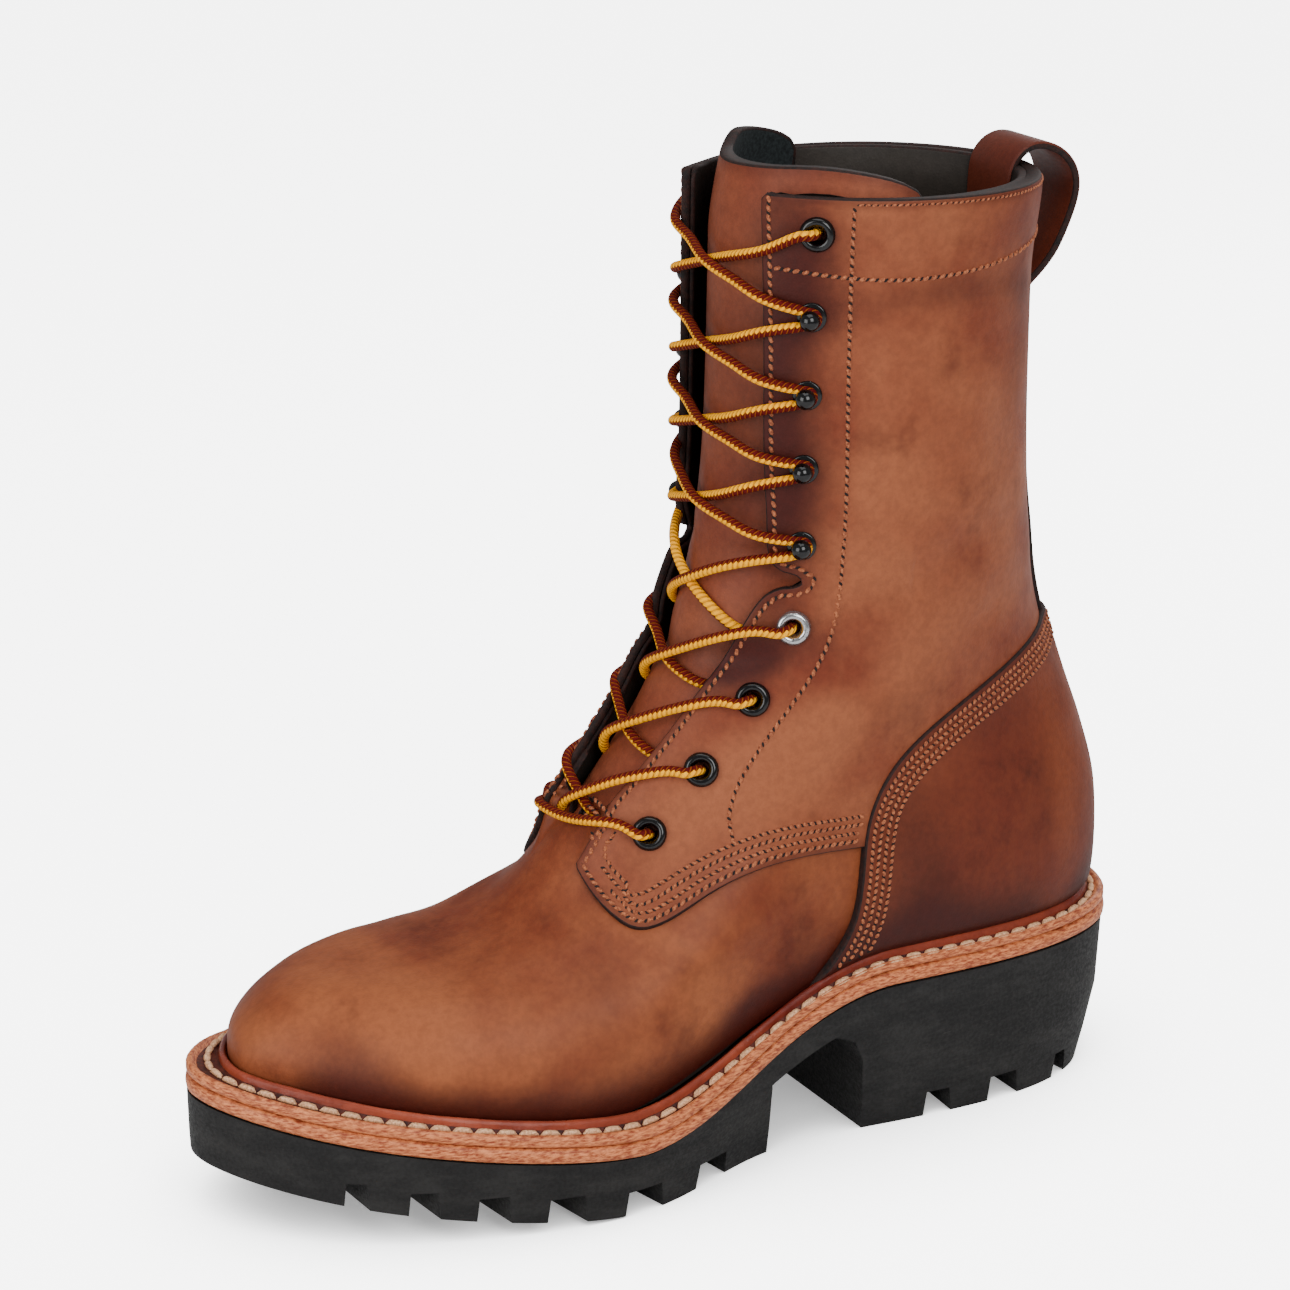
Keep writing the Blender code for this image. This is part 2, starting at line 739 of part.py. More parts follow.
def build_counter(group, cutters):
    counter = form_shell("counter", up_of("lip"), up_of("instep"), GAP, COUNTER, group, "dark_leather")
    corners = [(0, -20), (131, -20)] + list(COUNTER_EDGE)
    cut(counter, side_cutter("counter_side", corners, -BALL_WIDTH, BALL_WIDTH, cutters), "INTERSECT")
    low = lambda x: welt_top(x) + LIP_HIGH + 3 * GAP
    high = lambda x: 0 * x + level(200)
    cut(counter, side_profile("over_lip", low, high, cutters, 20), "INTERSECT")
    return counter


def build_backstay(group, cutters):
    inside = GAP + QUARTER + GAP
    strip = form_shell("backstay", up_of("throat"), COLLAR_UP, inside, BACKSTAY, group, "dark_leather")
    beside = [(x, z + 0.6) for x, z in COUNTER_EDGE[-3:]]
    corners = [(60, FAR_RISE), (0, FAR_RISE)] + beside[::-1]
    cut(strip, side_cutter("backstay_side", corners, -BACKSTAY_HALF, BACKSTAY_HALF, cutters), "INTERSECT")
    return strip


def build_tongue(group, cutters):
    inside = -WALL - GAP - TONGUE
    tongue = form_shell("tongue", up_of("vamp_mid"), 1.0, inside, TONGUE, group, "leather")
    corners = [(FAR_FORWARD, FAR_RISE), (137, FAR_RISE)] + list(TONGUE_EDGE)
    corners += [(200, 33), (FAR_FORWARD, 33)]
    cut(tongue, side_cutter("tongue_side", corners, -BALL_WIDTH, BALL_WIDTH, cutters), "INTERSECT")
    return tongue


def build_pull_loop(group):
    line = np.array([(x * LONG, level(z)) for x, z in LOOP_LINE])
    fine = spline(loop_knots(line), line, np.linspace(0, 1, 19))
    ahead = np.gradient(fine, axis=0)
    normal = np.stack([-ahead[:, 1], ahead[:, 0]], 1)
    normal /= np.linalg.norm(normal, axis=1)[:, None]
    corners = np.concatenate([fine + normal * LOOP_THICK / 2, (fine - normal * LOOP_THICK / 2)[::-1]])
    return prism("pull_loop", corners, 1, -LOOP_HALF_WIDTH, LOOP_HALF_WIDTH, group, "dark_leather")


# Eyelets and hooks
def lacing_rows():
    found = []
    for kind, across, rise in ROWS:
        for side in (1, -1):
            turn, up = find_on_form(across * WIDE, level(rise), side)
            found.append((kind, side, turn, up) + local_frame(turn, up, side))
    return found


def eyelet_mesh():
    """A turned ring: a barrel through the leather and a rounded flange over it."""
    seat = GAP + QUARTER + SEAT_GAP
    profile = (
        (EYELET_HOLE, seat + EYELET_RISE),
        (EYELET_FLANGE, seat + EYELET_RISE / 2),
        (EYELET_FLANGE, seat),
        (EYELET_BARREL, seat),
        (EYELET_BARREL, -WALL + GAP),
        (EYELET_HOLE, -WALL + GAP),
    )
    mesh = bpy.data.meshes.new("eyelet_profile")
    count = len(profile)
    mesh.from_pydata([(r, 0, z) for r, z in profile], [(i, (i + 1) % count) for i in range(count)], [])
    turned = bpy.data.objects.new("eyelet_profile", mesh)
    bpy.context.scene.collection.objects.link(turned)
    screw = turned.modifiers.new("turn", "SCREW")
    screw.steps = screw.render_steps = 8
    screw.use_merge_vertices = True
    screw.merge_threshold = 1e-5
    return baked(turned, "eyelet")


def baked(source, name):
    """The evaluated mesh of a working object, which is then removed."""
    bpy.context.view_layer.update()
    graph = bpy.context.evaluated_depsgraph_get()
    mesh = bpy.data.meshes.new_from_object(source.evaluated_get(graph))
    mesh.name = name
    bpy.data.objects.remove(source, do_unlink=True)
    work = bmesh.new()
    work.from_mesh(mesh)
    bmesh.ops.remove_doubles(work, verts=work.verts, dist=1e-6)
    bmesh.ops.recalc_face_normals(work, faces=work.faces)
    work.to_mesh(mesh)
    work.free()
    return mesh


def hook_mesh():
    """A round foot with a bent tongue that opens away from the throat."""
    seat = GAP + QUARTER + SEAT_GAP
    side = (
        (-3.2, 0.6), (-3.2, 3.6), (-2.2, 5.2), (0.6, 6.1), (3.8, 5.8),
        (4.4, 4.9), (1.2, 4.7), (-0.6, 4.1), (-1.4, 3.2), (-1.4, 0.6),
    )
    work = bmesh.new()
    lift = Matrix.Translation((0, 0, seat + HOOK_FOOT / 2))
    bmesh.ops.create_cone(
        work, cap_ends=True, segments=8, radius1=HOOK_BASE, radius2=HOOK_TOP, depth=HOOK_FOOT, matrix=lift,
    )
    mesh = bpy.data.meshes.new("hook_foot")
    work.to_mesh(mesh)
    work.free()
    foot = bpy.data.objects.new("hook_foot", mesh)
    bpy.context.scene.collection.objects.link(foot)
    corners = [(x * MM + HEEL_CENTRE, z * MM + seat) for x, z in side]
    tongue = prism("hook_tongue", corners, 1, -HOOK_WIDTH / 2, HOOK_WIDTH / 2, bpy.context.scene.collection)
    cut(foot, tongue, "UNION")
    joined = baked(foot, "hook")
    bpy.data.objects.remove(tongue, do_unlink=True)
    return joined


def build_hardware(group, rows):
    meshes = {"eyelet": eyelet_mesh(), "hook": hook_mesh()}
    for mesh in meshes.values():
        mesh.materials.clear()
        mesh.materials.append(material("metal"))
    counts = {}
    for kind, side, _, _, point, away, along, outward in rows:
        side_name = "outer" if side > 0 else "inner"
        key = (kind, side_name)
        counts[key] = counts.get(key, 0) + 1
        new = bpy.data.objects.new(f"{kind}_{side_name}_{counts[key]}", meshes[kind])
        new.matrix_world = frame_matrix(point, away, along, outward)
        group.objects.link(new)


# Lace
def past_edge(start, end):
    """Share of a strand's way at which it has just passed the facing's edge."""
    heights = [level(z) for _, z in THROAT[::-1]]
    gaps = [y * WIDE for y, _ in THROAT[::-1]]
    for share in np.linspace(0.04, 0.4, 37):
        _, across, height = on_form(*between(start[:2], end[:2], share))
        if abs(across) < np.interp(height, heights, gaps) - LACE_RADIUS / 2:
            break
    return share


def between(start, end, share):
    return tuple(a + (b - a) * share for a, b in zip(start, end))


def lace_strand(name, start, end, midway, group):
    """A tube from one row's side to another's, over the facing edges and the tongue."""
    first, last = past_edge(start, end), 1 - past_edge(end, start)
    shares = (0.0, first, 0.45, 0.55, last, 1.0)
    over_start = min(start[2], LACE_OVER_EDGE)
    over_end = min(end[2], LACE_OVER_EDGE)
    heights = (start[2], over_start, midway, midway, over_end, end[2])
    points = []
    for share, height in zip(shares, heights):
        points.append(on_form(*between(start[:2], end[:2], share), height))
    curve = bpy.data.curves.new(name, "CURVE")
    curve.dimensions = "3D"
    curve.bevel_depth = LACE_RADIUS
    curve.bevel_resolution = 1
    curve.use_fill_caps = True
    line = curve.splines.new("POLY")
    line.points.add(len(points) - 1)
    for spot, point in zip(line.points, placed(points)):
        spot.co = (*point, 1)
    tube = bpy.data.objects.new(name, curve)
    bpy.context.scene.collection.objects.link(tube)
    mesh = baked(tube, name)
    mesh.materials.clear()
    mesh.materials.append(material("lace"))
    new = bpy.data.objects.new(name, mesh)
    group.objects.link(new)
    return new


def build_laces(group, cutters, rows):
    sides = {1: [], -1: []}
    step = 1e-3
    for kind, side, turn, up, point, _, _, _ in rows:
        rise = np.linalg.norm(on_form(turn, up + step) - point) / step
        if kind == "hook":
            turn += side * HOOK_CLEAR * step / np.linalg.norm(on_form(turn + step, up) - point)
        over = LACE_OVER_LEATHER if kind == "hook" else LACE_OVER_ROW
        sides[side].append((turn, up, LACE_APART / rise, over))

    def spot(side, index, above):
        turn, up, apart, over = sides[side][index]
        return turn, up + apart * above, over

    lace_strand("lace_bar_1", spot(1, 0, -1), spot(-1, 0, -1), LACE_BAR_MIDWAY, group)
    for index in range(len(ROWS) - 1):
        name = f"lace_cross_{index + 1}"
        first = lace_strand(name, spot(1, index, 1), spot(-1, index + 1, -1), LACE_MIDWAY, group)
        second = lace_strand(
            name + "_other", spot(-1, index, 1), spot(1, index + 1, -1), LACE_MIDWAY, cutters,
        )
        cut(first, second, "UNION")


def main():
    clear_scene()
    boot = collection("logger_boot")
    cutters = collection("cutters")
    rows = lacing_rows()
    holes = hole_cutter([(row[0],) + row[4:] for row in rows], cutters)
    throat = throat_cutter("throat", [THROAT_END, (0, THROAT_END[1] - 2)], cutters)
    tab_gap = throat_cutter("tab_gap", [TAB_GAP, (TAB_GAP[0], 0)], cutters)
    build_outsole(boot, cutters)
    build_midsole(boot, cutters)
    build_welt(boot)
    build_insole(boot, cutters)
    build_upper(boot, throat, holes)
    build_quarters(boot, cutters, tab_gap, holes)
    build_counter(boot, cutters)
    build_backstay(boot, cutters)
    build_tongue(boot, cutters)
    build_pull_loop(boot)
    build_hardware(boot, rows)
    build_laces(boot, cutters, rows)


main()
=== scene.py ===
"""Looks of the left logger boot: fine leather panels, stitches, laces and finishes.

Lengths are in millimetres. They are counted along the boot from the back end of the outsole,
with +Y to the wearer's left and +Z up, until metres() moves them to the part's own origin.
"""

import math

import bmesh
import bpy
import numpy as np
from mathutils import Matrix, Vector


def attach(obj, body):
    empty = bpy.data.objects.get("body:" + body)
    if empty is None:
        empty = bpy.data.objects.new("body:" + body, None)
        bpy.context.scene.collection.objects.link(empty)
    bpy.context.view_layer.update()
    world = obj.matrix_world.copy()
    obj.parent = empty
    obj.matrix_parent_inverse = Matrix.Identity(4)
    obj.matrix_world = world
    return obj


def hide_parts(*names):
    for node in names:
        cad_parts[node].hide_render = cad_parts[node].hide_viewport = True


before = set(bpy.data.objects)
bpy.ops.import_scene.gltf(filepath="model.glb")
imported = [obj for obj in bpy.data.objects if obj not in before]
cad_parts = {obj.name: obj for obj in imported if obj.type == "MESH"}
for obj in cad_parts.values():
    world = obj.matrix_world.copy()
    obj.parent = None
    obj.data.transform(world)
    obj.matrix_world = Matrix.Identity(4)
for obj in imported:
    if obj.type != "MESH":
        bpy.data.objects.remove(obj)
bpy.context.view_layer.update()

# Driving sizes, as in the part
SOLE_LENGTH = 306
BALL_WIDTH = 112
OUTER_WIDER = 1.01
HEEL_CENTRE = 58
RUBBER_HEEL = 46.6
RUBBER_BALL = 18.8
TOE_SPRING = 18.6
MIDSOLE = 4.7
WELT = 3.2
GAP = 0.3
SHANK = 9
LUG_DEPTH = 8
BREAST_X = 105.5
BREAST_TOP_X = 108
BREAST_TOP_Z = 27
BLOCK_BACK_X = 141
WAIST_FROM = 0.31
WAIST_TO = 0.63
SPRING_FROM = 0.62
SPRING_POWER = 1.36
TOE_SWING = -2.9
TOE_TIP = -0.06
HEEL_BACK_RAKE = 9
HEEL_BACK_LONG = 60
FOOT_INSET = 1.6
WAIST_INSET = 6
WAIST_MIDDLE = 0.46
WAIST_REACH = 0.12

# Faces of the leather layers, as distances out from the upper's form
LINING_FACE = -2.3
LINING_BACK = -0.9
VAMP_FACE = 0.0
QUARTER_FACE = 1.8
QUARTER_BACK = -0.7
COUNTER_FACE = 2.9
BACKSTAY_FACE = 3.1
TONGUE_FACE = -2.6
TONGUE_BACK = -6.0

HOLE_RADIUS = 3.0

# Outline of the sole. Columns: share of the length; half widths to the outer and to the inner
# side, as shares of the ball width
OUTLINE = (
    (0.008, 0.13, 0.13),
    (0.03, 0.225, 0.22),
    (0.08, 0.31, 0.305),
    (0.15, 0.355, 0.345),
    (0.25, 0.365, 0.335),
    (0.35, 0.36, 0.30),
    (0.45, 0.39, 0.295),
    (0.55, 0.465, 0.36),
    (0.64, 0.503, 0.44),
    (0.73, 0.475, 0.474),
    (0.81, 0.415, 0.455),
    (0.885, 0.325, 0.395),
    (0.94, 0.215, 0.31),
    (0.98, 0.09, 0.20),
)

# Side notches between the lugs. Columns: middle along the boot, width, skew
NOTCHES = (
    (29, 6, 3),
    (55, 11, 0),
    (80, 9, -2),
    (163, 13, 4),
    (191, 13, 5),
    (216, 11, 5),
    (236.5, 9, 4),
    (255, 8, 3),
    (272, 6, 2),
)
NOTCH_REACH = 0.52
BOX_FACES = ((0, 1, 3, 2), (4, 5, 7, 6), (0, 1, 5, 4), (2, 3, 7, 6), (0, 2, 6, 4), (1, 3, 7, 5))

# Level sections of the upper. Columns: name; back and front end along the boot; their rises over
# the welt; half widths to the outer and inner side; share of the foot's plan; share of the
# sole's curve that the section follows; swing of the toe
SECTIONS = (
    ("feather", 8.5, 293, 0.3, 0.3, 47, 44, 1, 1, -6),
    ("lip", 7, 292.5, 7, 8, 49, 46, 1, 1, -6),
    ("wall", 6.5, 288.5, 17, 15, 50, 47, 1, 1, -6),
    ("bulge", 6.5, 279, 28, 22.5, 49, 46, 0.95, 0.9, -6),
    ("toe_top", 7.5, 263, 40, 26.5, 46.5, 43.5, 0.85, 0.75, -5.5),
    ("vamp_low", 10.5, 246, 52, 27, 43, 39.5, 0.7, 0.6, -5),
    ("vamp_mid", 14.5, 228, 64, 27.5, 39.5, 37, 0.5, 0.4, -4),
    ("vamp_top", 20, 211, 76, 30, 37, 34.5, 0.3, 0.25, -3),
    ("throat", 24.5, 196, 88, 39, 35.5, 33.5, 0.15, 0.1, -2.5),
    ("instep", 28.5, 180.5, 102, 55.5, 35.5, 34, 0, 0, -2),
    ("ankle", 31, 163, 117, 77.5, 36, 35.5, 0, 0, -1.5),
    ("bend", 33.5, 148.5, 135, 107, 37, 37, 0, 0, -1),
    ("shaft_low", 35.5, 141, 157, 142, 38.5, 38.5, 0, 0, 0),
    ("shaft_mid", 36.5, 138.5, 183, 177, 40, 40, 0, 0, 0),
    ("shaft_top", 37, 137.5, 210, 211, 41.5, 41.5, 0, 0, 0),
    ("collar", 37, 137, 233, 236, 42.5, 42.5, 0, 0, 0),
)
ABOVE_COLLAR = 17

# Plan of a section, as shares. Columns: from back to front; half widths of a foot's plan to the
# outer and inner side; half width of an oval
PLAN = (
    (0.03, 0.44, 0.45, 0.34),
    (0.14, 0.72, 0.73, 0.70),
    (0.42, 0.76, 0.66, 0.985),
    (0.67, 1.0, 0.97, 0.94),
    (0.80, 0.89, 0.99, 0.80),
    (0.90, 0.64, 0.86, 0.60),
    (0.97, 0.30, 0.53, 0.34),
)

# Throat seen from the front. Columns: half of the gap between the facings; rise
THROAT = (
    (18.5, 230),
    (19.5, 195),
    (20.5, 157),
    (22, 137),
    (25, 125),
    (29, 123),
    (29.3, 121.2),
    (25.5, 119.8),
    (22, 115),
    (19.3, 104),
    (15.2, 86),
    (12.2, 67),
    (10.2, 56),
)
TAB_GAP = (10.5, 47)
VAMP_TOP = (6, 53)
# Rounding of the vamp's top. Columns: distance from the middle; how far below its rise
VAMP_TOP_ROUND = ((VAMP_TOP[0], 0), (3, 3), (0, 3.6), (-1, 3.6))

# Edges of the overlays in side view. Columns: along the boot; rise
TAB_EDGE = (
    (186.5, 48),
    (189.5, 40.5),
    (188, 30.5),
    (183, 25),
    (171.5, 27),
    (158, 33),
    (136.5, 38.5),
    (112, 37.8),
    (98, 36.5),
    (84, 34),
)
COUNTER_EDGE = (
    (124.5, -4),
    (119, 2.5),
    (111, 15),
    (107.5, 34),
    (102.5, 51.5),
    (91, 65),
    (74, 75),
    (53.5, 83),
    (30, 90.5),
    (0, 100),
)

# Corners of the vamp in side view. Columns: along the boot; rise
VAMP_SIDE = ((92, -80), (330, -80), (330, 90), (192, 70), (150, 56), (92, 56))

# Stitch line of the facing seen from the front. Columns: distance from the middle; rise
FACING_LINE = (
    (36.4, 240),
    (35.2, 206),
    (34.4, 176),
    (33.9, 146),
    (33.4, 119),
    (33.1, 103),
    (31.6, 87),
    (30, 70),
    (30.6, 54),
    (34, 43),
)
FACING_BACK = 95
# Band of the collar in side view. Columns: along the boot; rise
BAND_LINE = (
    (137, 216),
    (109, 212),
    (85, 211.5),
    (56, 214.4),
    (36, 218),
)
BACKSTAY_HALF = 8
# Swell of the padded collar, outward and inward
COLLAR_SWELL = 2.2
# Share of the way up to the section "vamp_low" at which the quarters' grids begin
QUARTER_FROM = 0.75

# Rows of eyelets and hooks up each facing. Columns: kind; half distance across; rise
ROWS = (
    ("eyelet", 21.5, 49),
    ("eyelet", 24, 67),
    ("eyelet", 26.3, 87),
    ("eyelet", 28.8, 108),
    ("hook", 28.4, 133),
    ("hook", 28.2, 156),
    ("hook", 28.6, 178),
    ("hook", 29.4, 201),
    ("eyelet", 30.4, 225),
)

# Tongue's back edge and slanting top in side view. Columns: along the boot; rise
TONGUE_EDGE = (
    (137, 241.5),
    (124, 242.5),
    (110, 241),
    (97, 237.5),
    (91, 233),
    (91, 225),
    (94, 212),
    (106, 170),
    (112, 135),
    (122, 110),
    (150, 70),
    (178, 41),
)
# Lowest corner of the tongue, and where its level top begins in front
TONGUE_FOOT = (205, 20)
TONGUE_FRONT = 150
# How far the top's inner corner is raised, from what distance off the middle and over what width
TONGUE_CORNER = 3
TONGUE_CORNER_FROM = 20
TONGUE_CORNER_WIDTH = 12
# Swell along the tongue's middle and its half width; rise from which it grows, and over what
TONGUE_SWELL = 1.5
TONGUE_SWELL_HALF = 15
TONGUE_SWELL_FROM = 60
TONGUE_SWELL_GROWTH = 40
# How far the tongue's top leans in, the rise from which it does, and over what height
TONGUE_LEAN = 5
TONGUE_LEAN_FROM = 218
TONGUE_LEAN_GROWTH = 40

# Pull loop's middle line in side view. Columns: along the boot; rise
LOOP_LINE = (
    (43, 209),
    (43, 227),
    (41.3, 234),
    (35.5, 238.2),
    (28, 237.3),
    (21.5, 232.5),
    (19, 225.5),
    (21.3, 216),
    (26, 206.5),
    (31, 199),
    (34.2, 194.6),
    (35.2, 189),
    (35.2, 182),
)
LOOP_HALF_WIDTH = 11
LOOP_THICK = 2.4
LOOP_CORNER = 0.7
# How much narrower the loop's inner end is, the share of its length from which it is, and over
# what share
LOOP_NARROW = 0.35
LOOP_NARROW_FROM = 0.72
LOOP_NARROW_WIDTH = 0.2


def metres(points):
    return (np.asarray(points, float) - np.array([HEEL_CENTRE, 0, 0])) * 0.001


# Curves and heights
def spline(knots, values, at, closed=False):
    """Cubic spline through the values at the knots, with natural ends or as a closed loop."""
    knots = np.asarray(knots, float)
    values = np.asarray(values, float)
    step = np.diff(knots)
    flat = values.reshape(len(knots), -1)
    slope = np.diff(flat, axis=0) / step[:, None]
    count = len(knots)
    matrix = np.zeros((count, count))
    right = np.zeros_like(flat)
    for i in range(1, count - 1):
        matrix[i, i - 1:i + 2] = step[i - 1], 2 * (step[i - 1] + step[i]), step[i]
        right[i] = 6 * (slope[i] - slope[i - 1])
    if closed:
        matrix[0, 0] = 2 * (step[0] + step[-1])
        matrix[0, 1] = step[0]
        matrix[0, -2] = step[-1]
        right[0] = 6 * (slope[0] - slope[-1])
        matrix[-1, 0] = 1
        matrix[-1, -1] = -1
    else:
        matrix[0, 0] = matrix[-1, -1] = 1
    bend = np.linalg.solve(matrix, right)
    at = np.atleast_1d(np.asarray(at, float))
    i = np.clip(np.searchsorted(knots, at, side="right") - 1, 0, count - 2)
    a = ((knots[i + 1] - at) / step[i])[:, None]
    b = 1 - a
    square = (step[i] ** 2 / 6)[:, None]
    curve = (a ** 3 - a) * bend[i] + (b ** 3 - b) * bend[i + 1]
    found = a * flat[i] + b * flat[i + 1] + curve * square
    return found.reshape((len(at),) + values.shape[1:])


def loop_knots(points, power=1.0):
    steps = np.linalg.norm(np.diff(points, axis=0), axis=1) ** power
    knots = np.concatenate([[0], np.cumsum(steps)])
    return knots / knots[-1]


def smooth(share):
    share = np.clip(share, 0, 1)
    return share * share * (3 - 2 * share)


def unit(vectors):
    return vectors / np.maximum(np.linalg.norm(vectors, axis=-1, keepdims=True), 1e-12)


def fine_line(points, count):
    """A smooth line through points, as evenly spaced points."""
    points = np.asarray(points, float)
    dense = spline(loop_knots(points, 0.7), points, np.linspace(0, 1, 8 * count))
    return resample(dense, count)


def reach_along(line):
    """Distance along a line from its start to each of its points."""
    return np.concatenate([[0], np.cumsum(np.linalg.norm(np.diff(line, axis=0), axis=1))])


def resample(line, count):
    reach = reach_along(line)
    at = np.linspace(0, reach[-1], count)
    return np.stack([np.interp(at, reach, line[:, k]) for k in range(line.shape[1])], 1)


def spring(x):
    share = np.asarray(x) / SOLE_LENGTH
    return TOE_SPRING * np.clip((share - SPRING_FROM) / (1 - SPRING_FROM), 0, 1.2) ** SPRING_POWER


def rubber_top(x):
    share = np.asarray(x) / SOLE_LENGTH
    waist = smooth((share - WAIST_FROM) / (WAIST_TO - WAIST_FROM))
    return RUBBER_HEEL + (RUBBER_BALL - RUBBER_HEEL) * waist + spring(x)


def midsole_top(x):
    return rubber_top(x) + GAP + MIDSOLE


def welt_top(x):
    return midsole_top(x) + GAP + WELT


def outline(count, inset=0.0):
    """The sole's outline in plan, from the heel's back over the outer side to the toe and on."""
    outer = [(a * SOLE_LENGTH, o * BALL_WIDTH * OUTER_WIDER) for a, o, _ in OUTLINE]
    inner = [(a * SOLE_LENGTH, -i * BALL_WIDTH) for a, _, i in OUTLINE]
    toe = (SOLE_LENGTH, TOE_TIP * BALL_WIDTH)
    points = np.array([(0, 0)] + outer + [toe] + inner[::-1] + [(0, 0)])
    swing = np.clip(points[:, 0] / SOLE_LENGTH * 2 - 1, 0, 1) ** 2
    points[:, 1] += TOE_SWING * swing
    knots = loop_knots(points)
    at = np.arange(count) / count
    found = spline(knots, points, at, closed=True)
    ahead = spline(knots, points, (at + 0.001) % 1, closed=True) - found
    normal = unit(np.stack([-ahead[:, 1], ahead[:, 0]], 1))
    inset = np.broadcast_to(inset, (count,))
    return found - normal * inset[:, None]


# The upper's form, as in the part
def level(rise):
    return welt_top(0) + np.asarray(rise, float)


def section(row):
    _, back, front, back_rise, front_rise, outer, inner, foot, follow, swing = row

    def point(share, side, half):
        x = back + share * (front - back)
        rise = back_rise * (1 - share) + front_rise * share
        z = (1 - follow) * welt_top(0) + follow * welt_top(x) + rise
        return x, side * half + swing * max(0, 2 * share - 1) ** 2, z

    points = [point(0, 1, 0)]
    points += [point(a, 1, outer * (f * foot + o * (1 - foot))) for a, f, _, o in PLAN]
    points += [point(1, 1, 0)]
    points += [point(a, -1, inner * (f * foot + o * (1 - foot))) for a, _, f, o in PLAN[::-1]]
    return np.array(points + points[:1])


LOOPS = np.array([section(row) for row in SECTIONS])
LOOPS = np.concatenate([LOOPS, LOOPS[-1:] + [0, 0, ABOVE_COLLAR]])
ROUND_STEPS = np.linalg.norm(np.diff(LOOPS, axis=1), axis=2)[2:].mean(0) ** 0.8
ROUND_KNOTS = np.concatenate([[0], np.cumsum(ROUND_STEPS)]) / ROUND_STEPS.sum()
UP_STEPS = np.linalg.norm(np.diff(LOOPS, axis=0), axis=2).mean(1) ** 0.7
UP_KNOTS = np.concatenate([[0], np.cumsum(UP_STEPS)]) / UP_STEPS.sum()
COLLAR_UP = UP_KNOTS[len(SECTIONS) - 1]


def up_of(name):
    return UP_KNOTS[[row[0] for row in SECTIONS].index(name)]


def on_form(turn, up):
    """Points of the form for pairs of places around it and up it."""
    by_turn = spline(ROUND_KNOTS, np.eye(len(ROUND_KNOTS)), np.asarray(turn) % 1, closed=True)
    by_up = spline(UP_KNOTS, np.eye(len(UP_KNOTS)), up)
    rings = (by_up @ LOOPS.reshape(len(UP_KNOTS), -1)).reshape(len(by_up), len(ROUND_KNOTS), 3)
    return (rings * by_turn[:, :, None]).sum(1)


def tangents(turn, up):
    """Directions around and up the form, and outward, for pairs of places."""
    small = 0.0015
    turn = np.asarray(turn, float)
    up = np.asarray(up, float)
    around = on_form(turn + small, up) - on_form(turn - small, up)
    rise = on_form(turn, np.minimum(up + small, 1)) - on_form(turn, np.maximum(up - small, 0))
    return unit(around), unit(rise), unit(np.cross(rise, around))


def find_on_form(across, height, side):
    """Where the front of the form has this distance from the middle and this height."""
    turn, up = 0.5 - side * 0.1, (up_of("throat") + COLLAR_UP) / 2
    small = 1e-4
    target = np.array([side * across, height])
    for _ in range(40):
        here, by_turn, by_up = on_form([turn, turn + small, turn], [up, up, up + small])[:, 1:]
        moves = np.stack([by_turn - here, by_up - here], 1) / small
        move = np.clip(np.linalg.solve(moves, target - here), -0.03, 0.03)
        turn, up = turn + move[0], min(max(up + move[1], 0.01), 0.99)
    return turn, up


# Creases and dents of the upper, in side view. Columns: middle along the boot and its height over
# the floor; angle of the line in degrees; half length; half width; depth; side, 1 outer,
# -1 inner, 0 both
CREASES = (
    (143, 153, -18, 13, 4.5, 2.0, 0),
    (131, 183, 10, 9, 3.5, 1.2, 0),
    (128, 172, 68, 11, 3.2, 0.9, 0),
    (113, 155, 52, 24, 9, 0.8, 0),
    (92, 173, 25, 26, 9, 0.9, 0),
    (70, 183, -14, 24, 8, 1.0, 0),
    (58, 159, -22, 20, 7, 0.6, 0),
    (216, 72, -50, 16, 8, 0.9, 0),
    (233, 66, -62, 16, 6, 0.5, 0),
    (186, 70, -40, 18, 8, 0.7, 0),
    (150, 62, 15, 26, 9, 0.7, 0),
    (268, 57, 70, 9, 8, 0.5, 0),
    (60, 107, 8, 26, 16, -0.8, 0),
    (84, 240, 78, 36, 15, 0.7, 0),
    (60, 220, 84, 30, 10, 0.5, 0),
)

# How far the facings stand off the tongue, on the outer and the inner side; how far that reaches
# over the leather and over the gap
FACING_LIFT = (1.0, 4.0)
LIFT_REACH = 8
LIFT_FALL = 2.5
# Rise at which the lift begins in the middle; how much lower it begins on the facings, from what
# distance off the middle and over what width; height over which it grows
LIFT_FROM = 46
LIFT_LOWER = 10
LIFT_LOWER_FROM = 6
LIFT_LOWER_WIDTH = 4
LIFT_GROWTH = 14
# How much a crease bends, as a share of the square of the distance along it; width over the
# middle in which a crease of one side ends
CREASE_BEND = 0.004
SIDE_FADE = 10


def creases(points, lifted=True):
    """How far the leather lies in or out of the form at these points."""
    depth = np.zeros(len(points))
    for row in CREASES:
        depth -= row[5] * soft_line(points, row)
    if lifted:
        away = from_throat(points, FACING_GAP)
        shape = np.exp(-(away / np.where(away > 0, LIFT_REACH, LIFT_FALL)) ** 2)
        amount = np.where(points[:, 1] > 0, *FACING_LIFT)
        lower = smooth((np.abs(points[:, 1]) - LIFT_LOWER_FROM) / LIFT_LOWER_WIDTH)
        low = level(LIFT_FROM - LIFT_LOWER * lower)
        depth += amount * shape * smooth((points[:, 2] - low) / LIFT_GROWTH)
    return depth


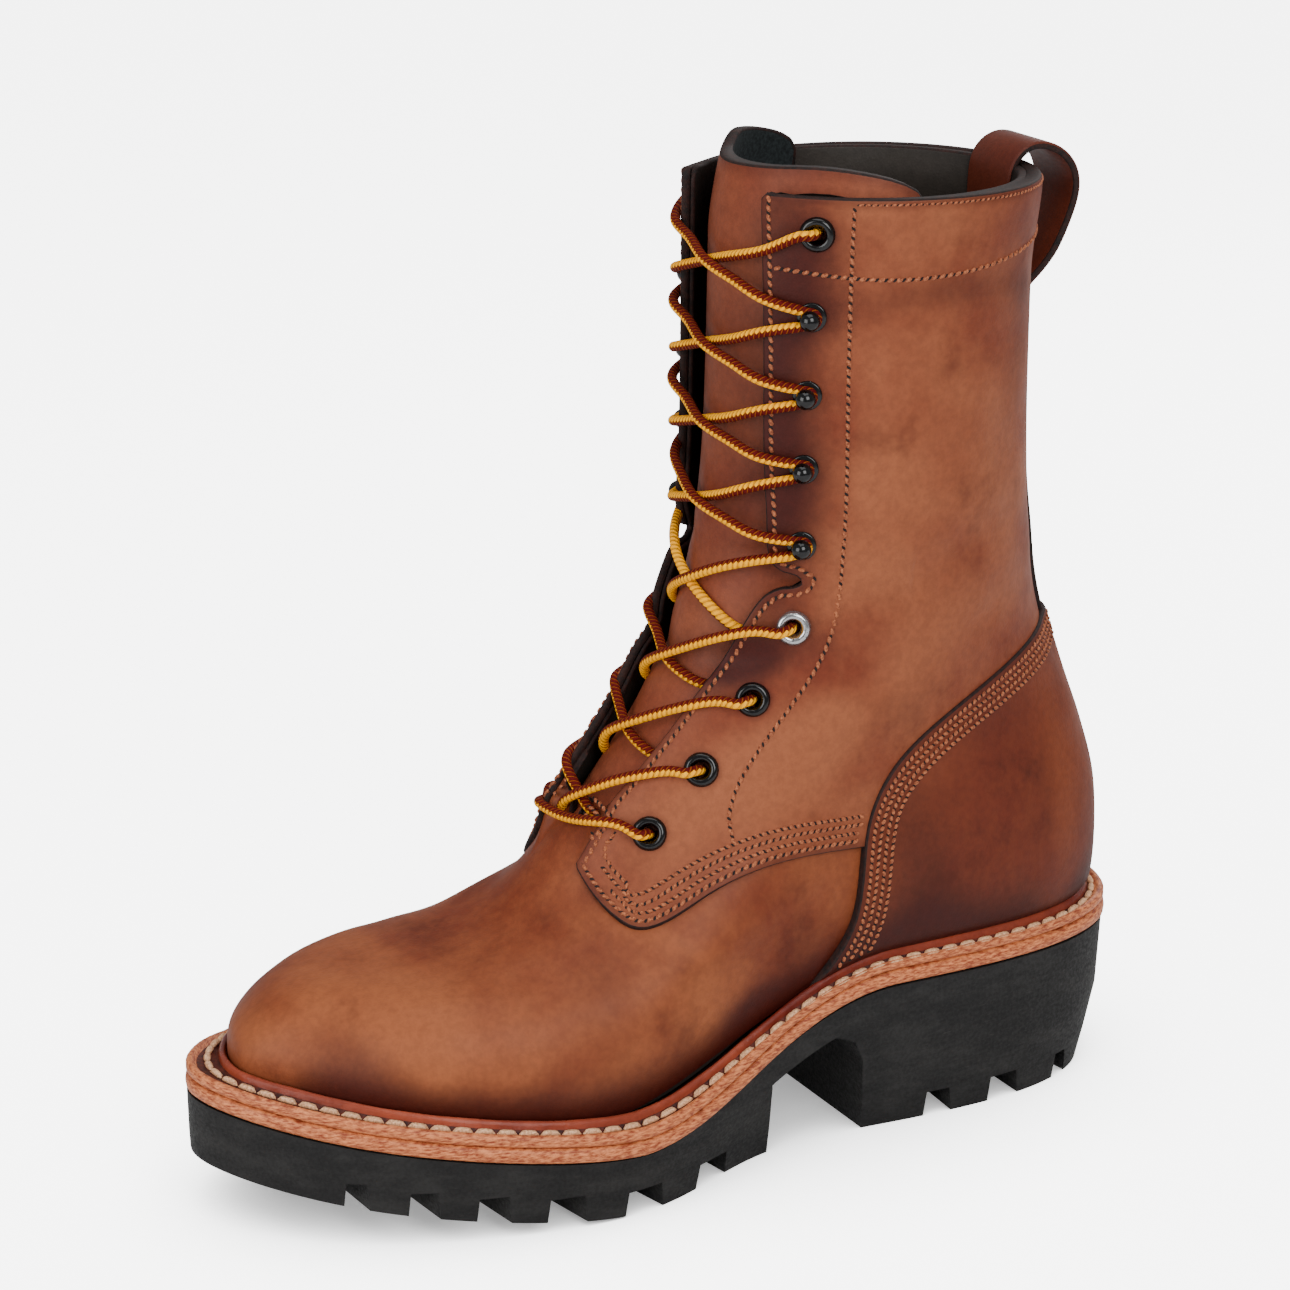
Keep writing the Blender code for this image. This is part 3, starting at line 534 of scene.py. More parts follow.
def soft_line(points, row):
    """Share from 0 to 1 of a soft, slightly bent line or spot in side view."""
    x, height, angle, half, wide, _, side = row
    a = math.radians(angle)
    dx = points[:, 0] - x
    dz = points[:, 2] - height
    along = dx * math.cos(a) + dz * math.sin(a)
    across = -dx * math.sin(a) + dz * math.cos(a) + CREASE_BEND * along ** 2
    shape = np.exp(-(along / half) ** 2 - (across / wide) ** 2)
    return shape * smooth(points[:, 1] * side / SIDE_FADE) if side else shape


# Lighter and darker places of the leather, in side view: painted highlights, as on the toe's front,
# and painted shade in creases and folds, mixed with the leather's own lighter and darker patches.
# Columns: middle along the boot and its height over the floor; angle of the line in degrees; half
# length; half width; amount; side as above
TONES_WITH_LIGHT_AND_SHADE = (
    (289, 54, 82, 14, 9, 1.1, 0),
    (264, 68, -12, 14, 6, 0.35, 0),
    (268, 63, 70, 12, 9, -0.15, 0),
    (246, 61, -72, 14, 8, 0.85, 0),
    (226, 58, -60, 16, 9, 0.6, 0),
    (229, 75, -28, 14, 6, -0.5, 0),
    (198, 64, -48, 20, 10, -0.4, 0),
    (206, 50, -60, 14, 8, 0.25, 0),
    (166, 60, -30, 16, 9, 0.4, 0),
    (144, 50, 10, 16, 8, -0.4, 0),
    (130, 207, 90, 44, 12, -1.0, 0),
    (128, 268, 90, 32, 12, -0.9, 0),
    (143, 153, -18, 15, 7, -1.1, 0),
    (162, 112, -52, 26, 11, 0.8, 0),
    (138, 120, -56, 24, 12, 0.9, 0),
    (120, 128, -60, 20, 11, 0.6, 0),
    (96, 142, -35, 34, 16, 0.7, 0),
    (72, 165, 0, 30, 12, 0.4, 0),
    (112, 150, 50, 22, 8, -0.5, 0),
    (92, 225, 90, 50, 11, 0.1, 0),
    (52, 245, 90, 44, 8, -0.35, 0),
    (84, 262, 0, 40, 7, -0.5, 0),
    (84, 282, 0, 40, 7, -0.2, 0),
    (30, 96, 90, 40, 9, 0.9, 0),
    (88, 88, 75, 34, 16, -0.55, 0),
    (58, 124, 0, 20, 10, -0.3, 0),
)
# Band of painted shade along the leather's foot, where it curves in towards the welt, and its height
FOOT_SHADE = 1.0
FOOT_REACH = 17
# Share of the tones, with their painted highlights and shade, that the tongue takes
TONGUE_TONE = 0.5


def tones_with_light_and_shade(points):
    """How light or dark the leather is painted at these points, from 1 to -1: painted highlights and
    shade mixed with its own lighter and darker patches.
    """
    # Painted shade along the foot, then the listed spots
    found = -FOOT_SHADE * np.exp(-((points[:, 2] - welt_top(points[:, 0])) / FOOT_REACH) ** 2)
    for row in TONES_WITH_LIGHT_AND_SHADE:
        found += row[5] * soft_line(points, row)
    return np.clip(found, -1, 1)


# Distances to edges
def signed_distance(places, polygon):
    """Distance of flat places to a closed polygon's edge, above zero inside it."""
    start = np.asarray(polygon, float)
    step = np.roll(start, -1, axis=0) - start
    found = np.empty(len(places))
    square = np.maximum((step ** 2).sum(1), 1e-12)
    for first in range(0, len(places), 20000):
        part = places[first:first + 20000]
        gap = part[:, None] - start[None]
        share = np.clip((gap * step[None]).sum(2) / square[None], 0, 1)
        away = np.linalg.norm(gap - share[..., None] * step[None], axis=2).min(1)
        over = (start[None, :, 1] > part[:, 1, None]) != ((start + step)[None, :, 1] > part[:, 1, None])
        rise = np.where(np.abs(step[:, 1]) < 1e-12, 1e-12, step[:, 1])
        cross = start[None, :, 0] + (part[:, 1, None] - start[None, :, 1]) / rise[None] * step[None, :, 0]
        inside = (over & (part[:, 0, None] < cross)).sum(1) % 2 == 1
        found[first:first + 20000] = np.where(inside, away, -away)
    return found


def in_side_view(points):
    return points[:, [0, 2]]


def in_front_view(points):
    return np.stack([np.abs(points[:, 1]), points[:, 2]], 1)


def leveled(rows):
    rows = np.asarray(rows, float)
    return np.stack([rows[:, 0], level(rows[:, 1])], 1)


THROAT_SIDE = fine_line(leveled(THROAT), 70)
# Where the boot's front half begins; a rise above everything, which also stands for far away
FRONT_FROM = 92
FAR_RISE = 300


def throat_polygon(end):
    top = [(THROAT[0][0], level(FAR_RISE))]
    side = np.concatenate([top, THROAT_SIDE, leveled(end)])
    back = [(-end[-1][0], level(end[-1][1])), (-THROAT[0][0], level(FAR_RISE))]
    return np.concatenate([side, back])


FACING_GAP = throat_polygon([TAB_GAP, (TAB_GAP[0], -20)])
VAMP_GAP = throat_polygon([(x, VAMP_TOP[1] - drop) for x, drop in VAMP_TOP_ROUND])


def from_throat(points, polygon):
    """Distance from the throat's opening, above zero on the leather."""
    away = -signed_distance(in_front_view(points), polygon)
    return np.where(points[:, 0] < FRONT_FROM, FAR_RISE, away)


TAB_LINE = fine_line(leveled(TAB_EDGE), 60)
COUNTER_LINE = fine_line(leveled(COUNTER_EDGE), 60)
TONGUE_LINE = fine_line(leveled(TONGUE_EDGE), 60)
# Sides of a box in side view, well away from the boot
LOW, HIGH, BEHIND, AHEAD = -100, 500, -100, 400


def from_tab_line(points):
    corners = [(AHEAD, HIGH), (AHEAD, TAB_LINE[0, 1] + 100)]
    polygon = np.concatenate([corners, TAB_LINE, [(BEHIND, TAB_LINE[-1, 1]), (BEHIND, HIGH)]])
    return signed_distance(in_side_view(points), polygon)


def from_counter_line(points):
    corners = [(BEHIND, LOW), (COUNTER_LINE[0, 0] + 10, LOW)]
    polygon = np.concatenate([corners, COUNTER_LINE, [(BEHIND, COUNTER_LINE[-1, 1] + 30)]])
    return signed_distance(in_side_view(points), polygon)


def from_tongue_line(points):
    foot, top = level(TONGUE_FOOT[1]), level(TONGUE_EDGE[0][1])
    corners = [(AHEAD, foot), (AHEAD, top), (TONGUE_FRONT, top)]
    polygon = np.concatenate([corners, TONGUE_LINE, [(TONGUE_FOOT[0], foot)]])
    places = in_side_view(points)
    places[:, 1] -= TONGUE_CORNER * smooth((-points[:, 1] - TONGUE_CORNER_FROM) / TONGUE_CORNER_WIDTH)
    return signed_distance(places, polygon)


def collar_height(points):
    """Height of the collar's rim at these points."""
    _, back, front, back_rise, front_rise = SECTIONS[-1][:5]
    share = (points[:, 0] - back) / (front - back)
    return level(back_rise + share * (front_rise - back_rise))


def from_collar(points):
    return collar_height(points) - points[:, 2]


def from_eyelets(points):
    """Distance from the rims of the eyelets' holes, above zero on the leather."""
    found = np.full(len(points), 60.0)
    for kind, across, rise in ROWS:
        if kind == "eyelet":
            for side in (1, -1):
                middle = on_form(*([value] for value in find_on_form(across, float(level(rise)), side)))
                found = np.minimum(found, np.linalg.norm(points - middle, axis=1) - HOLE_RADIUS)
    return found


# Meshes
def add_object(name, points, faces, materials, slots):
    """A mesh object from points in millimetres, riding on the boot."""
    mesh = bpy.data.meshes.new(name)
    mesh.from_pydata(metres(points).tolist(), [], faces)
    for material in materials:
        mesh.materials.append(material)
    if slots is not None:
        mesh.polygons.foreach_set("material_index", np.asarray(slots, np.int32))
    mesh.polygons.foreach_set("use_smooth", np.ones(len(mesh.polygons), bool))
    mesh.update()
    new = bpy.data.objects.new(name, mesh)
    bpy.context.scene.collection.objects.link(new)
    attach(new, "root")
    return new


def add_values(piece, name, values):
    attribute = piece.data.attributes.new(name, "FLOAT", "POINT")
    attribute.data.foreach_set("value", np.asarray(values, np.float32))


def strip_faces(rows, count, closed=False):
    """Quads of a grid of points with that many rows and columns, as an array."""
    columns = np.arange(count if closed else count - 1)
    r, c = np.meshgrid(np.arange(rows - 1), columns, indexing="ij")
    a = r * count + c
    b = r * count + (c + 1) % count
    return np.stack([a, b, b + count, a + count], -1).reshape(-1, 4)


def end_caps(rows, count):
    """The two faces that close a sweep of that many rings."""
    return [list(range(count)), list(range((rows - 1) * count, rows * count))[::-1]]


class Patch:
    """A grid on the form. Its places slide a little, so that a clipped edge is smooth."""

    # Distance within which a measure is corrected, and the limits of that correction
    NEAR = 25
    SLOPES = (0.35, 1.2)
    # Share of a grid step over which a place may slide
    SLIDE = 0.35

    def __init__(self, turns, ups, closed):
        self.rows, self.count, self.closed = len(ups), len(turns), closed
        turn, up = np.meshgrid(turns, ups)
        self.turn, self.up = turn.ravel(), up.ravel()
        self.point = on_form(self.turn, self.up)

    def slopes(self, values):
        """How fast a value changes per millimetre along the form."""
        def along(array, axis):
            if axis == 1 and self.closed:
                return (np.roll(array, -1, axis=1) - np.roll(array, 1, axis=1)) / 2
            return np.gradient(array, axis=axis)

        shape = (self.rows, self.count)
        point = self.point.reshape(shape + (3,))
        value = values.reshape(shape)
        pc, pr = along(point, 1), along(point, 0)
        vc, vr = along(value, 1), along(value, 0)
        e, f, g = (pc * pc).sum(2), (pc * pr).sum(2), (pr * pr).sum(2)
        square = (g * vc ** 2 - 2 * f * vc * vr + e * vr ** 2) / np.maximum(e * g - f * f, 1e-9)
        return np.sqrt(np.maximum(square, 0)).ravel()

    def true_distance(self, values):
        """Distances measured in a view, turned into distances along the leather."""
        near = np.abs(values) < self.NEAR
        slope = np.where(near, np.clip(self.slopes(values), *self.SLOPES), 1)
        return values / slope

    def snap(self, values):
        """Slides grid places that lie close to the edge onto it."""
        grid = np.arange(len(values)).reshape(self.rows, self.count)
        pairs = [(grid[:, :-1], grid[:, 1:]), (grid[:-1], grid[1:])]
        if self.closed:
            pairs.append((grid[:, -1:], grid[:, :1]))
        for a, b in pairs:
            a, b = a.ravel(), b.ravel()
            crossing = values[a] * values[b] < 0
            a, b = a[crossing], b[crossing]
            share = values[a] / (values[a] - values[b])
            for near, far, part in ((a, b, share), (b, a, 1 - share)):
                close = part < self.SLIDE
                one, two, part = near[close], far[close], part[close]
                step = (self.turn[two] - self.turn[one] + 0.5) % 1 - 0.5
                self.turn[one] += step * part
                self.up[one] += (self.up[two] - self.up[one]) * part
                values[one] = 0
        self.point = on_form(self.turn, self.up)
        return values

    def clipped(self, values):
        """Faces where the value is above zero, with points added where it crosses zero."""
        values = self.snap(values.copy())
        faces = strip_faces(self.rows, self.count, self.closed)
        at = values[faces]
        whole = faces[(at >= 0).all(1) & (at > 0).any(1)].tolist()
        crossed = faces[(at < 0).any(1) & (at > 0).any(1)]
        added, turns, ups = {}, [], []
        base = len(values)

        def cross(a, b):
            key = (min(a, b), max(a, b))
            if key not in added:
                share = values[a] / (values[a] - values[b])
                step = (self.turn[b] - self.turn[a] + 0.5) % 1 - 0.5
                turns.append(self.turn[a] + step * share)
                ups.append(self.up[a] + (self.up[b] - self.up[a]) * share)
                added[key] = base + len(turns) - 1
            return added[key]

        for face in crossed.tolist():
            kept = []
            for a, b in zip(face, face[1:] + face[:1]):
                if values[a] >= 0:
                    kept.append(a)
                if values[a] * values[b] < 0:
                    kept.append(cross(a, b))
            if len(kept) > 2:
                whole.append(kept)
        turn = np.concatenate([self.turn, turns])
        up = np.concatenate([self.up, ups])
        values = np.concatenate([values, np.zeros(len(turns))])
        used = np.unique(np.concatenate([np.asarray(f) for f in whole]))
        renumber = np.full(len(turn), -1)
        renumber[used] = np.arange(len(used))
        whole = [renumber[f].tolist() for f in whole]
        return turn[used], up[used], values[used], whole


def rim_edges(values, faces):
    """Edges that run along the clipped border, in the direction of their face."""
    count = {}
    for face in faces:
        for a, b in zip(face, face[1:] + face[:1]):
            if values[a] == 0 and values[b] == 0:
                count[(a, b)] = count.get((a, b), 0) + 1
    return [(a, b) for a, b in count if (b, a) not in count]


# Angles of the rings that round a panel's edge; step over which its direction is measured; share
# of the roll from which a ring is coloured as a cut edge; reach of the edge's distance
ROLL_ANGLES = (0.4, 0.8, 1.2, math.pi / 2)
EDGE_STEP = 0.4
CUT_FROM = 0.3
EDGE_REACH = 60


def panel(
    name, patch, distance, face, back, materials, roll=0.8, backed=False, bulge=None, shift=None,
    lifted=True,
):
    """A piece of leather on the form, cut where distance() is zero, with rolled thick edges.

    The face lies at one offset from the form and the back at another. bulge() moves the face and
    shift() both. materials holds those of the face, of the cut edge and of the back.
    """
    raw = patch.true_distance(distance(patch.point))
    turn, up, values, faces = patch.clipped(raw - roll)
    point = on_form(turn, up)
    around, rise, outward = tangents(turn, up)
    lift = creases(point, lifted) + (shift(point) if shift else 0)
    face_at = face + lift + (bulge(point) if bulge else 0)
    back_at = back + lift
    edges = rim_edges(values, faces)
    rim = np.unique(np.array(edges).ravel())
    points = [point + outward * face_at[:, None]]
    edge_values = [edge_distance(values, rim, roll)]
    all_faces = list(faces)
    slots = [0] * len(faces)
    slopes = [
        distance(point[rim] + way[rim] * EDGE_STEP) - distance(point[rim] - way[rim] * EDGE_STEP)
        for way in (around, rise)
    ]
    away = -unit(around[rim] * slopes[0][:, None] + rise[rim] * slopes[1][:, None])
    place = np.full(len(point), -1)
    place[rim] = np.arange(len(rim))
    thick = face_at[rim] - back_at[rim]
    drop = np.minimum(np.abs(thick), roll) * np.sign(thick)
    rings = [(math.sin(a), 1 - math.cos(a), 0) for a in ROLL_ANGLES]
    last = rim
    total = len(point)
    for out, down, whole in rings + [(1, 1, 1)]:
        offset = np.where(whole, back_at[rim], face_at[rim] - drop * down)
        points.append(point[rim] + away * roll * out + outward[rim] * offset[:, None])
        edge_values.append(np.zeros(len(rim)))
        here = total + np.arange(len(rim))
        for a, b in edges:
            i, j = place[a], place[b]
            all_faces.append([int(last[j]), int(last[i]), int(here[i]), int(here[j])])
            slots.append(1 if down > CUT_FROM else 0)
        last = here
        total += len(rim)
    if backed:
        points.append(point + outward * back_at[:, None])
        edge_values.append(edge_values[0])
        all_faces += [[total + k for k in f[::-1]] for f in faces]
        slots += [2] * len(faces)
        for a, b in edges:
            i, j = place[a], place[b]
            all_faces.append([int(last[j]), int(last[i]), total + a, total + b])
            slots.append(1)
    if face > back:
        all_faces = [f[::-1] for f in all_faces]
    points = np.concatenate(points)
    piece = add_object(name, points, all_faces, materials, slots)
    add_values(piece, "edge", np.concatenate(edge_values))
    # tone: painted highlights and shade, mixed with the leather's own lighter and darker patches
    add_values(piece, "tone", tones_with_light_and_shade(points) * (1 if lifted else TONGUE_TONE))
    return piece


def edge_distance(values, rim, roll):
    """Distance from the panel's edge at each point, up to a reach that the shader needs."""
    found = np.maximum(values + roll, 0)
    found[rim] = roll
    return np.clip(found, 0, EDGE_REACH)


# Contours, for the rows of stitches
def contour(patch, values, at, keep=None):
    """Lines where a value on the grid has the given level, as arrays of turn and up."""
    level_values = values - at
    level_values[np.abs(level_values) < 1e-9] = 1e-9
    faces = strip_faces(patch.rows, patch.count, patch.closed)
    signs = level_values[faces] > 0
    crossed = faces[signs.any(1) & ~signs.all(1)]
    links = {}
    places = {}

    def cross(a, b):
        key = (min(a, b), max(a, b))
        if key not in places:
            share = level_values[a] / (level_values[a] - level_values[b])
            step = (patch.turn[b] - patch.turn[a] + 0.5) % 1 - 0.5
            climb = patch.up[b] - patch.up[a]
            places[key] = (patch.turn[a] + step * share, patch.up[a] + climb * share)
        return key

    for face in crossed.tolist():
        found = [
            cross(a, b) for a, b in zip(face, face[1:] + face[:1])
            if (level_values[a] > 0) != (level_values[b] > 0)
        ]
        for k in range(0, len(found) - 1, 2):
            links.setdefault(found[k], []).append(found[k + 1])
            links.setdefault(found[k + 1], []).append(found[k])
    lines = []
    left = set(links)
    ends = [k for k in sorted(links) if len(links[k]) == 1] + sorted(links)
    for first in ends:
        if first not in left:
            continue
        line = [first]
        left.discard(first)
        while True:
            ahead = [k for k in links[line[-1]] if k in left]
            if not ahead:
                break
            line.append(ahead[0])
            left.discard(ahead[0])
        lines.append(np.array([places[k] for k in line]))
    out = []
    for line in lines:
        if len(line) < 4:
            continue
        turn = np.unwrap(line[:, 0] * 2 * math.pi) / (2 * math.pi)
        line = np.stack([turn, line[:, 1]], 1)
        if keep is not None:
            fine = keep(on_form(line[:, 0], line[:, 1]))
            runs = np.split(np.arange(len(line)), np.flatnonzero(np.diff(fine.astype(int))) + 1)
            out += [line[run] for run in runs if fine[run[0]] and len(run) > 3]
        else:
            out.append(line)
    return out


def stations(line, pitch, offset):
    """Evenly spaced places along a line on the form, with points, headings and normals."""
    point = on_form(line[:, 0], line[:, 1])
    reach = reach_along(point)
    count = max(int(reach[-1] / pitch), 1)
    at = (np.arange(count) + 0.5) * reach[-1] / count
    turn = np.interp(at, reach, line[:, 0])
    up = np.interp(at, reach, line[:, 1])
    _, _, outward = tangents(turn, up)
    place = on_form(turn, up)
    ahead, behind = (
        on_form(np.interp(at + step, reach, line[:, 0]), np.interp(at + step, reach, line[:, 1]))
        for step in (0.5, -0.5)
    )
    heading = unit(ahead - behind)
    lift = creases(place) + collar_pad(place) + (offset(place) if callable(offset) else offset)
    return place + outward * lift[:, None], heading, outward


def stitch_shape():
    """One stitch: a plump thread that dips into the leather at both ends."""
    along = np.linspace(-1, 1, 7)
    around = np.arange(6) / 6 * 2 * math.pi
    points = []
    for a in along:
        wide = math.sqrt(max(1 - a ** 4, 0.02))
        for r in around:
            points.append((a, math.cos(r) * wide, math.sin(r) * wide - 0.55 * a ** 4))
    faces = strip_faces(len(along), len(around), closed=True)
    return np.array(points), faces


STITCH_POINTS, STITCH_FACES = stitch_shape()


# Lean of a stitch in degrees, and the share of the pitch that it fills
STITCH_LEAN = 24
STITCH_FILL = 0.9


def stitch_rows(name, rows, materials, pitch, wide=0.6, high=0.55, hole_shade=0.8):
    """Stitches along lines on the form, each followed by a flat dark patch that paints the shade of its
    needle hole, as one mesh.
    """
    points, faces, slots = [], [], []
    total = 0
    hole_round = np.arange(8) / 8 * 2 * math.pi
    for line, offset, row_lean in rows:
        place, heading, outward = stations(line, pitch, offset)
        sideways = np.cross(outward, heading)
        a = math.radians(STITCH_LEAN * row_lean)
        along = heading * math.cos(a) + sideways * math.sin(a)
        across = np.cross(outward, along)
        size = np.array([pitch * STITCH_FILL / 2, wide, high])
        for p, x, y, z, straight in zip(place, along, across, outward, heading):
            local = STITCH_POINTS * size
            points.append(p + local[:, :1] * x + local[:, 1:2] * y + local[:, 2:] * z)
            faces.append(STITCH_FACES + total)
            slots += [0] * len(STITCH_FACES)
            total += len(local)
            # Flat dark patch after the stitch: painted shade of the needle hole
            middle = p + straight * pitch / 2 + z * 0.04
            slant = unit(straight * 0.7 + np.cross(z, straight) * 0.7 * row_lean)
            ring = middle + hole_shade * (np.cos(hole_round)[:, None] * slant
                                    + 0.5 * np.sin(hole_round)[:, None] * np.cross(z, slant))
            points.append(ring)
            for k in (0, 2, 4):
                faces.append(np.array([[0, k + 1, k + 2, k + 3]]) + total)
                slots.append(1)
            total += len(ring)
    faces = np.concatenate(faces).tolist()
    return add_object(name, np.concatenate(points), faces, materials, slots)


# Materials
class Shader:
    """One material and short ways to add its nodes."""

    def __init__(self, name, roughness=0.5, metallic=0.0, specular=0.5):
        self.material = bpy.data.materials.new(name)
        self.material.use_nodes = True
        self.nodes = self.material.node_tree.nodes
        self.links = self.material.node_tree.links
        self.surface = self.nodes["Principled BSDF"]
        self.surface.inputs["Roughness"].default_value = roughness
        self.surface.inputs["Metallic"].default_value = metallic
        self.surface.inputs["Specular IOR Level"].default_value = specular
        self.place = self.nodes.new("ShaderNodeTexCoord").outputs["Object"]

    def put(self, socket, value):
        if isinstance(value, bpy.types.NodeSocket):
            self.links.new(value, socket)
        else:
            socket.default_value = value

    def noise(self, scale, detail=3.0, rough=0.55, stretch=None, distort=0.0):
        node = self.nodes.new("ShaderNodeTexNoise")
        node.inputs["Scale"].default_value = scale
        node.inputs["Detail"].default_value = detail
        node.inputs["Roughness"].default_value = rough
        node.inputs["Distortion"].default_value = distort
        self.links.new(self.moved(stretch) if stretch else self.place, node.inputs["Vector"])
        return node.outputs["Fac"]

    def moved(self, stretch):
        node = self.nodes.new("ShaderNodeMapping")
        node.inputs["Scale"].default_value = stretch
        self.links.new(self.place, node.inputs["Vector"])
        return node.outputs["Vector"]

    def cells(self, scale):
        node = self.nodes.new("ShaderNodeTexVoronoi")
        node.inputs["Scale"].default_value = scale
        self.links.new(self.place, node.inputs["Vector"])
        return node.outputs["Distance"]

    def value(self, name):
        node = self.nodes.new("ShaderNodeAttribute")
        node.attribute_name = name
        return node.outputs["Fac"]

    def maths(self, operation, a, b=0.0):
        node = self.nodes.new("ShaderNodeMath")
        node.operation = operation
        self.put(node.inputs[0], a)
        self.put(node.inputs[1], b)
        return node.outputs[0]

    def spread(self, value, low, high, to_low=0.0, to_high=1.0):
        node = self.nodes.new("ShaderNodeMapRange")
        node.interpolation_type = "SMOOTHSTEP"
        self.put(node.inputs["Value"], value)
        node.inputs["From Min"].default_value = low
        node.inputs["From Max"].default_value = high
        node.inputs["To Min"].default_value = to_low
        node.inputs["To Max"].default_value = to_high
        return node.outputs["Result"]

    def blend(self, share, a, b, kind="MIX"):
        node = self.nodes.new("ShaderNodeMix")
        node.data_type = "RGBA"
        node.blend_type = kind
        self.put(node.inputs["Factor"], share)
        self.put(node.inputs["A"], a)
        self.put(node.inputs["B"], b)
        return node.outputs["Result"]

    def bump(self, height, strength, distance, normal=None):
        node = self.nodes.new("ShaderNodeBump")
        node.inputs["Strength"].default_value = strength
        node.inputs["Distance"].default_value = distance * 0.001
        self.put(node.inputs["Height"], height)
        if normal is not None:
            self.links.new(normal, node.inputs["Normal"])
        return node.outputs["Normal"]

    def finish(self, tone, roughness=None, normal=None):
        self.put(self.surface.inputs["Base Color"], tone)
        if roughness is not None:
            self.put(self.surface.inputs["Roughness"], roughness)
        if normal is not None:
            self.links.new(normal, self.surface.inputs["Normal"])
        return self.material


def colour(red, green, blue):
    """A colour given as it looks on a screen, from 0 to 255, for a shader."""
    def straight(value):
        value /= 255
        return value / 12.92 if value <= 0.04045 else ((value + 0.055) / 1.055) ** 2.4

    return (straight(red), straight(green), straight(blue), 1)


def leather(name, deep, middle, light, seams=0.5, lift=0.0):
    """Oiled leather with soft clouds, fine grain, darker seams, and the painted highlights and shade of
    the tone attribute.
    """
    shader = Shader(name, specular=0.17)
    clouds = shader.noise(17, 3, 0.5, distort=0.4)
    patches = shader.noise(48, 4, 0.6)
    rubbed = shader.noise(150, 3, 0.6, stretch=(1, 1, 0.5))
    tone = shader.blend(shader.spread(clouds, 0.32, 0.68), colour(*middle), colour(*light))
    tone = shader.blend(shader.spread(patches, 0.52, 0.78, 0, 0.55), tone, colour(*deep))
    tone = shader.blend(shader.spread(rubbed, 0.35, 0.7, 0, 0.22), tone, colour(*light))
    # Painted highlights and painted shade, with the leather's own patches, from the tone attribute
    placed_tones_and_shade = shader.value("tone")
    tone = shader.blend(shader.spread(placed_tones_and_shade, 0, 1), tone, colour(*light))
    tone = shader.blend(shader.spread(placed_tones_and_shade, 0, -1), tone, colour(*deep))
    near = shader.spread(shader.value("edge"), 0.6, 4.5, seams, 0)
    tone = shader.blend(near, tone, colour(*deep))
    grain = shader.cells(1500)
    wrinkle = shader.noise(420, 4, 0.6)
    speck = shader.blend(shader.spread(wrinkle, 0.3, 0.7, 0.0, 0.18), tone, colour(*deep), "MULTIPLY")
    normal = shader.bump(grain, 0.16, 0.25)
    normal = shader.bump(wrinkle, 0.22, 0.35, normal)
    normal = shader.bump(patches, 0.25, 0.8, normal)
    gloss = shader.spread(patches, 0.3, 0.7, 0.50 + lift, 0.62 + lift)
    shader.surface.inputs["Coat Weight"].default_value = 0.06
    shader.surface.inputs["Coat Roughness"].default_value = 0.45
    return shader.finish(speck, gloss, normal)


def plain_fibre(name, deep, light, scale=600, rough=0.75, stretch=None):
    """Thread, felt or a cut edge: fine fibres between two colours."""
    shader = Shader(name, specular=0.3)
    fibre = shader.noise(scale, 4, 0.65, stretch=stretch)
    tone = shader.blend(shader.spread(fibre, 0.3, 0.7), colour(*deep), colour(*light))
    return shader.finish(tone, rough, shader.bump(fibre, 0.4, 0.3))


def rubber_material():
    """Black rubber with fine pits, dust and level scuffs."""
    shader = Shader("black_rubber", specular=0.25)
    dust = shader.noise(60, 5, 0.65, stretch=(1, 1, 2.5))
    pits = shader.noise(900, 3, 0.6)
    scuff = shader.noise(260, 4, 0.7, stretch=(0.5, 0.5, 3))
    tone = shader.blend(shader.spread(dust, 0.35, 0.75), colour(17, 16, 16), colour(34, 33, 32))
    tone = shader.blend(shader.spread(scuff, 0.62, 0.8, 0, 0.5), tone, colour(60, 57, 54))
    normal = shader.bump(pits, 0.35, 0.25)
    normal = shader.bump(scuff, 0.35, 0.5, normal)
    return shader.finish(tone, shader.spread(pits, 0.3, 0.7, 0.55, 0.75), normal)


def metal_material(name, base, worn, share, metallic):
    """Shiny enamel or plating over metal, with worn flecks."""
    shader = Shader(name, metallic=metallic, specular=0.4)
    chips = shader.noise(1100, 3, 0.7)
    worn_off = shader.spread(chips, share, share + 0.05)
    tone = shader.blend(worn_off, colour(*base), colour(*worn))
    return shader.finish(tone, shader.spread(chips, 0.3, 0.7, 0.08, 0.2), shader.bump(chips, 0.12, 0.15))


